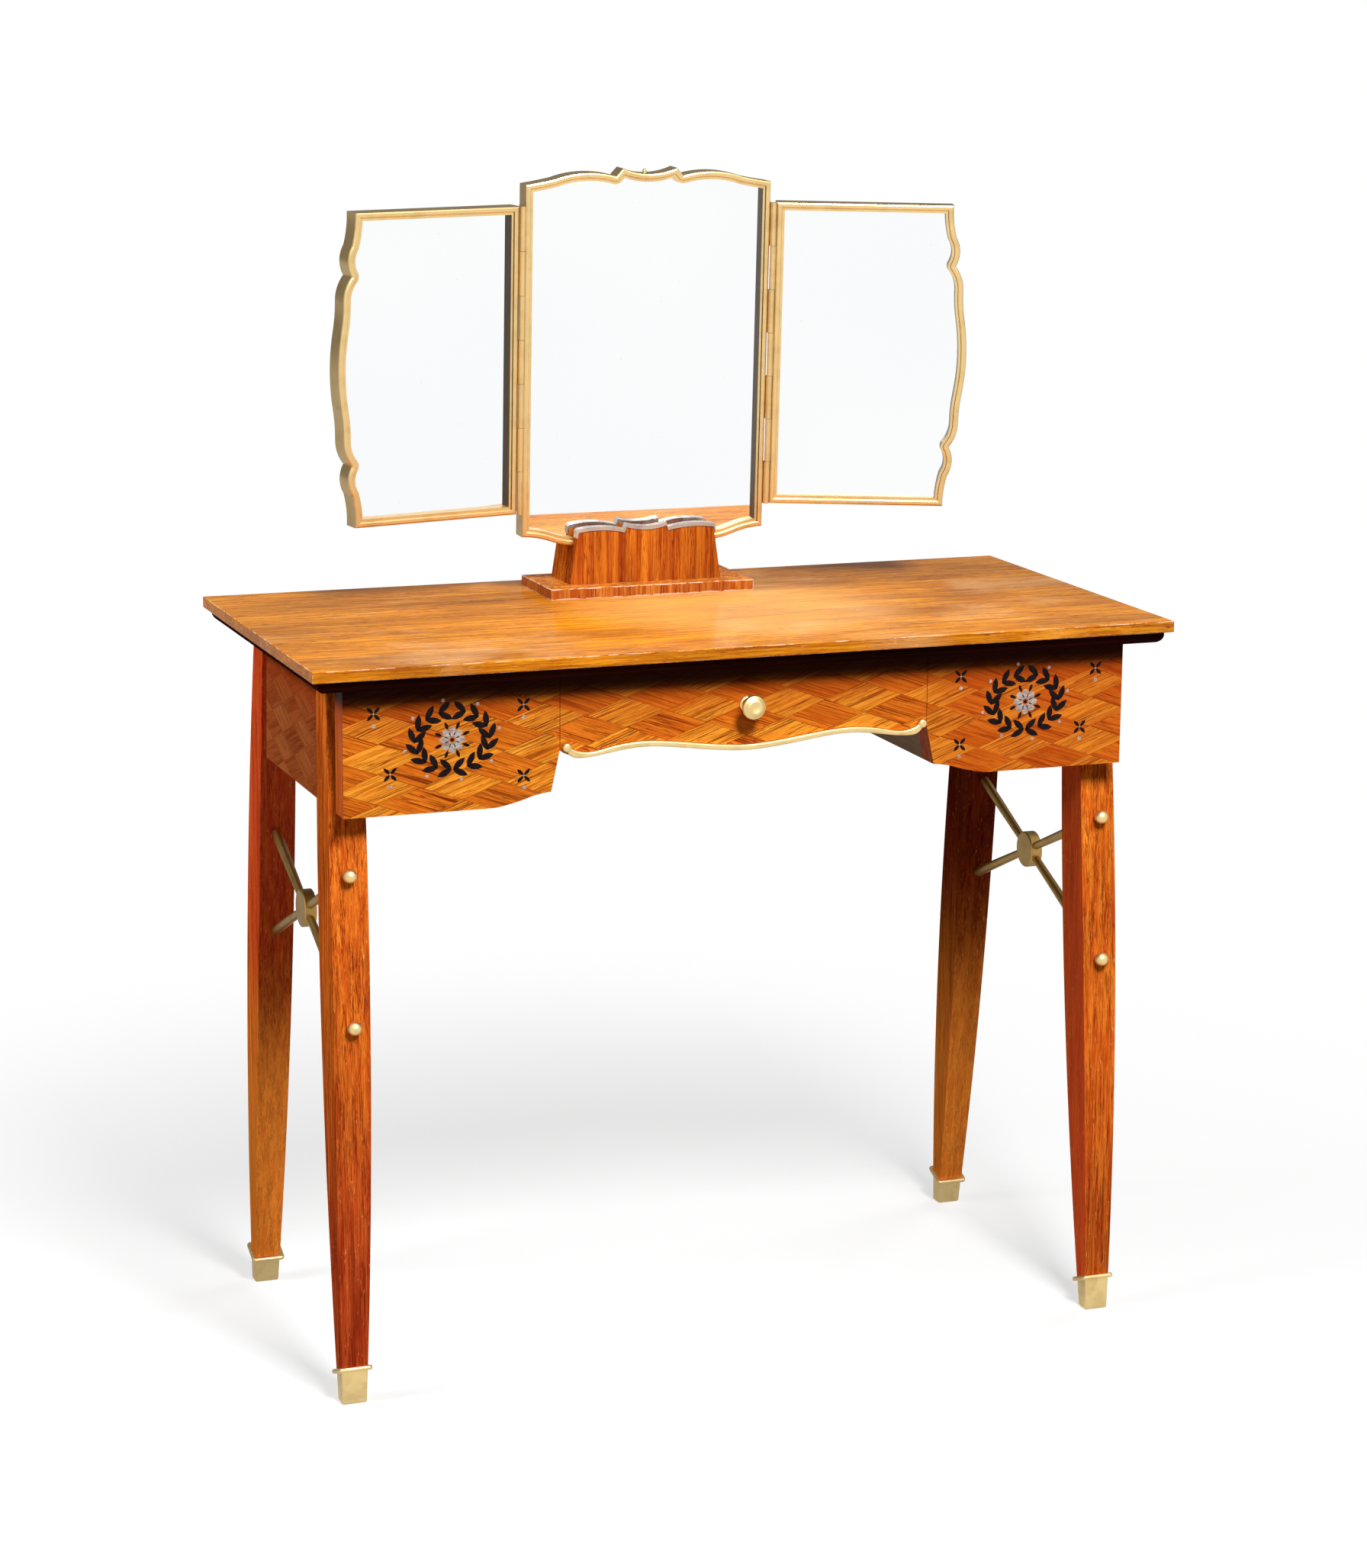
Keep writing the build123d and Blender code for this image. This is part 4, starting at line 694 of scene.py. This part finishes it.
def cut_plate(name, corners, length, width, point=0.0):
    """An oval plate of veneer lying along X, drawn out to points at both tips."""
    bpy.ops.object.select_all(action="DESELECT")
    bpy.ops.mesh.primitive_circle_add(vertices=corners, radius=length / 2, fill_type="NGON")
    plate = bpy.context.object
    plate.name = name
    bpy.ops.object.mode_set(mode="EDIT")
    bpy.ops.mesh.select_all(action="SELECT")
    bpy.ops.transform.rotate(value=math.pi / 2, orient_axis="Z", center_override=(0.0, 0.0, 0.0))
    bpy.ops.transform.resize(value=(1.0, width / length, 1.0), center_override=(0.0, 0.0, 0.0))
    if point:
        pick(plate, lambda co: abs(co.x) > 0.498 * length)
        bpy.ops.transform.resize(value=(1.0 + point, 1.0, 1.0), center_override=(0.0, 0.0, 0.0))
    bpy.ops.mesh.select_all(action="SELECT")
    bpy.ops.mesh.extrude_region_move(TRANSFORM_OT_translate={"value": (0.0, 0.0, inlay_thickness)})
    bpy.ops.mesh.select_all(action="SELECT")
    bpy.ops.mesh.normals_make_consistent(inside=False)
    bpy.ops.object.mode_set(mode="OBJECT")
    return plate


def lay(plate, x, z, turn=0.0, size=1.0):
    """A copy of a plate, let into the front at x and z, its length turned up from X."""
    copy = plate.copy()
    copy.data = plate.data.copy()
    place = Matrix.Translation((x, front_face + inlay_sunk, z)) @ Matrix.Rotation(-turn, 4, "Y")
    stood_up = place @ Matrix.Rotation(math.pi / 2, 4, "X")
    copy.data.transform(stood_up @ Matrix.Diagonal((size, size, 1.0, 1.0)))
    bpy.context.scene.collection.objects.link(copy)
    return copy


def gather(name, finish, body, parts):
    """Joins laid plates into one piece that rides on a body."""
    bpy.ops.object.select_all(action="DESELECT")
    for part in parts:
        part.select_set(True)
    bpy.context.view_layer.objects.active = parts[0]
    bpy.ops.object.join()
    piece = bpy.context.object
    piece.name = name
    piece.data.materials.clear()
    piece.data.materials.append(finishes[finish])
    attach(piece, body)


leaf = cut_plate("leaf_pattern", corners=12, length=0.0120, width=0.0056, point=0.22)
petal = cut_plate("petal_pattern", corners=14, length=0.0092, width=0.0062)
dot = cut_plate("dot_pattern", corners=14, length=0.0030, width=0.0030)

wreath_height = 0.6640
wreath_centre = 0.3030
wreath_across = 0.0370
wreath_up = 0.0285
wreath_pairs = 16
leaf_offset = 0.0042
leaf_splay = math.radians(34)
berry_offset = 0.0112
petal_count = 8
petal_ring = 0.0080
spike_ring = 0.0150
sprig_leaves = 4
sprig_ring = 0.0048
sprig_drop = 0.0120
sprig_places = ((-0.072, 0.030), (0.078, 0.030), (-0.072, -0.040), (0.062, -0.030))


def beside(place, way, distance):
    """The place at a distance from another, given which way."""
    return place[0] + distance * way[0], place[1] + distance * way[1]


def direction(angle):
    return math.cos(angle), math.sin(angle)


def lay_wreath(side, body):
    """An oval laurel wreath in ebony round a pearl rosette, with berries and corner sprigs."""
    middle = (side * wreath_centre, wreath_height)
    ebony = []
    pearl = []
    for pair in range(wreath_pairs):
        angle = 2 * math.pi * (pair + 0.5) / wreath_pairs
        cosine, sine = direction(angle)
        stem = (middle[0] + wreath_across * cosine, middle[1] + wreath_up * sine)
        climb = 1 if cosine > 0 else -1
        along = math.atan2(climb * wreath_up * cosine, -climb * wreath_across * sine)
        outward = Vector((cosine / wreath_across, sine / wreath_up)).normalized()
        for way in (-1, 1):
            turn = along - climb * way * leaf_splay
            ebony.append(lay(leaf, *beside(stem, outward, way * leaf_offset), turn, size=1.12))
        if pair % 2 == 0:
            pearl.append(lay(dot, *beside(stem, outward, berry_offset), size=1.15))
    for number in range(petal_count):
        angle = 2 * math.pi * number / petal_count
        turned = angle + math.pi / petal_count
        pearl.append(lay(petal, *beside(middle, direction(angle), petal_ring), angle, size=1.10))
        ebony.append(lay(leaf, *beside(middle, direction(turned), spike_ring), turned, size=0.56))
    ebony.append(lay(dot, *middle, size=1.25))
    for across, up in sprig_places:
        sprig = (middle[0] + side * across, middle[1] + up)
        for number in range(sprig_leaves):
            turn = math.pi / 2 * number + math.pi / 4
            ebony.append(lay(leaf, *beside(sprig, direction(turn), sprig_ring), turn, size=0.60))
        pearl.append(lay(dot, *sprig, size=0.8))
        pearl.append(lay(dot, sprig[0], sprig[1] - sprig_drop, size=1.3))
    word = "left" if side < 0 else "right"
    gather(f"inlay_ebony_{word}", "ebony", body, ebony)
    gather(f"inlay_pearl_{word}", "pearl", body, pearl)


lay_wreath(-1, "left_drawer")
lay_wreath(1, "right_drawer")
for pattern in (leaf, petal, dot):
    bpy.data.objects.remove(pattern)


def crest_bead():
    """The small bead in the dip of the centre frame's crest, on a short neck."""
    radius = 0.0021
    neck_top = -0.0012
    neck_flare = 1.5
    centre_above_crest = 0.0014
    above_table = 2.0
    crest = nodes["mirror_frame"]
    low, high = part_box("mirror_frame")
    middle = (low.y + high.y) / 2
    down = Vector((0.0, 0.0, -1.0))
    starts = [Vector((0.0, middle + back, above_table)) for back in (0.0, 0.004, 0.008)]
    hits = [crest.ray_cast(start, down) for start in starts]
    spot = max((hit[1] for hit in hits if hit[0]), key=lambda co: co.z)
    bpy.ops.object.select_all(action="DESELECT")
    bpy.ops.mesh.primitive_uv_sphere_add(segments=20, ring_count=12, radius=radius,
                                         location=(0.0, 0.0, 0.0))
    bead = bpy.context.object
    bead.name = "crest_bead"
    pick(bead, lambda co: co.z < neck_top)
    bpy.ops.transform.resize(value=(neck_flare, neck_flare, 1.0), center_override=(0.0, 0.0, -radius))
    bpy.ops.object.mode_set(mode="OBJECT")
    bead.data.transform(Matrix.Translation(spot + Vector((0.0, 0.0, centre_above_crest))))
    bpy.ops.object.shade_smooth()
    bead.data.materials.append(finishes["frames"])
    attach(bead, "table")


crest_bead()


# ---------------------------------------------------------------- studio
table_middle = Vector((0.0, 0.0, 0.6))


def soft_lamp(name, place, side, power, glossy=True):
    """A square lamp that looks at the middle of the table."""
    bpy.ops.object.light_add(type="AREA", location=place)
    lamp = bpy.context.object
    lamp.name = name
    lamp.data.shape = "RECTANGLE"
    lamp.data.size = side
    lamp.data.size_y = side
    lamp.data.energy = power
    lamp.visible_glossy = glossy
    lamp.rotation_mode = "QUATERNION"
    lamp.rotation_quaternion = (table_middle - lamp.location).to_track_quat("-Z", "Y")


def ray_kinds(tree):
    """The kinds of ray, and 1 for those the camera sends straight or through glass."""
    rays = tree.nodes.new("ShaderNodeLightPath").outputs
    return rays, maths(tree, "MAXIMUM", rays["Is Camera Ray"], rays["Is Transmission Ray"])


def build_world():
    """White to the camera, plain ambient light, and in reflections bright in front and dim behind."""
    ambient = 0.11
    front_glow = 0.97
    back_glow = 0.24
    world = bpy.data.worlds.new("studio")
    world.use_nodes = True
    bpy.context.scene.world = world
    tree = world.node_tree
    backdrop = tree.nodes["Background"]
    backdrop.inputs["Color"].default_value = (1.0, 1.0, 1.0, 1.0)
    rays, seen = ray_kinds(tree)
    _, towards, _ = axes(tree, add_node(tree, "ShaderNodeTexCoord", out="Generated"))
    glow = spread(tree, towards, 0.45, -0.05, back_glow - ambient, front_glow - ambient)
    strength = maths(tree, "MULTIPLY_ADD", rays["Is Glossy Ray"], glow, ambient)
    fill(tree, backdrop.inputs["Strength"], maths(tree, "MAXIMUM", strength, seen))


def build_floor():
    """A wide pale floor that fades to white away from the table."""
    floor_radius = 14.0
    fade_start = 0.35
    fade_end = 1.5
    bpy.ops.mesh.primitive_circle_add(vertices=96, radius=floor_radius, fill_type="NGON",
                                      location=(0.0, 0.0, 0.0))
    floor = bpy.context.object
    floor.name = "studio_floor"
    material = bpy.data.materials.new("pale_floor")
    material.use_nodes = True
    tree = material.node_tree
    tree.nodes.clear()
    pale = add_node(tree, "ShaderNodeBsdfDiffuse", {"Color": (0.86, 0.86, 0.86)})
    white = add_node(tree, "ShaderNodeEmission", {"Color": (1.0, 1.0, 1.0), "Strength": 1.0})
    x, y, _ = axes(tree, object_place(tree))
    reach = vector_maths(tree, "LENGTH", vector_of(tree, x, y, 0.0), out="Value")
    rays, seen = ray_kinds(tree)
    fade = times(tree, spread(tree, reach, fade_start, fade_end, 0.55, 1.0), seen)
    surface = add_node(tree, "ShaderNodeMixShader", (fade, pale, white))

    # in mirrors it is bright in front of the table and dimmer under it, and it lights the table little
    mirrored = add_node(tree, "ShaderNodeEmission", {"Strength": spread(tree, y, -0.05, -0.30, 0.52, 1.0)})
    surface = add_node(tree, "ShaderNodeMixShader", (rays["Is Glossy Ray"], surface, mirrored))
    dim = add_node(tree, "ShaderNodeBsdfDiffuse", {"Color": (0.25, 0.25, 0.25)})
    surface = add_node(tree, "ShaderNodeMixShader", (rays["Is Diffuse Ray"], surface, dim))
    output = tree.nodes.new("ShaderNodeOutputMaterial")
    fill(tree, output.inputs["Surface"], surface)
    floor.data.materials.append(material)


def build_camera():
    """Looks at the table from the front left, a little above its mirrors' foot."""
    azimuth = math.radians(-20.41)
    elevation = math.radians(12.52)
    roll = math.radians(0.46)
    back = Vector((
        math.sin(azimuth) * math.cos(elevation),
        -math.cos(azimuth) * math.cos(elevation),
        math.sin(elevation),
    ))
    level = Vector((math.cos(azimuth), math.sin(azimuth), 0.0))
    upward = back.cross(level)
    right = level * math.cos(roll) + upward * math.sin(roll)
    up = upward * math.cos(roll) - level * math.sin(roll)
    bpy.ops.object.camera_add()
    camera = bpy.context.object
    camera.name = "studio_camera"
    camera.matrix_world = Matrix((right, up, back)).transposed().to_4x4()
    camera.location = (-1.3287, -3.5779, 1.4081)
    camera.data.sensor_width = 36.0
    camera.data.lens = 86.56
    camera.data.clip_end = 100.0
    bpy.context.scene.camera = camera


bpy.ops.object.select_all(action="DESELECT")
build_world()
build_floor()
build_camera()
soft_lamp("key_softbox", (0.1, -2.6, 3.1), 0.9, 172.0)
soft_lamp("left_rim", (-2.9, -0.1, 2.3), 1.4, 66.0, glossy=False)
soft_lamp("right_rim", (2.9, 1.4, 1.9), 1.6, 34.0, glossy=False)
bpy.context.scene.view_settings.view_transform = "Standard"
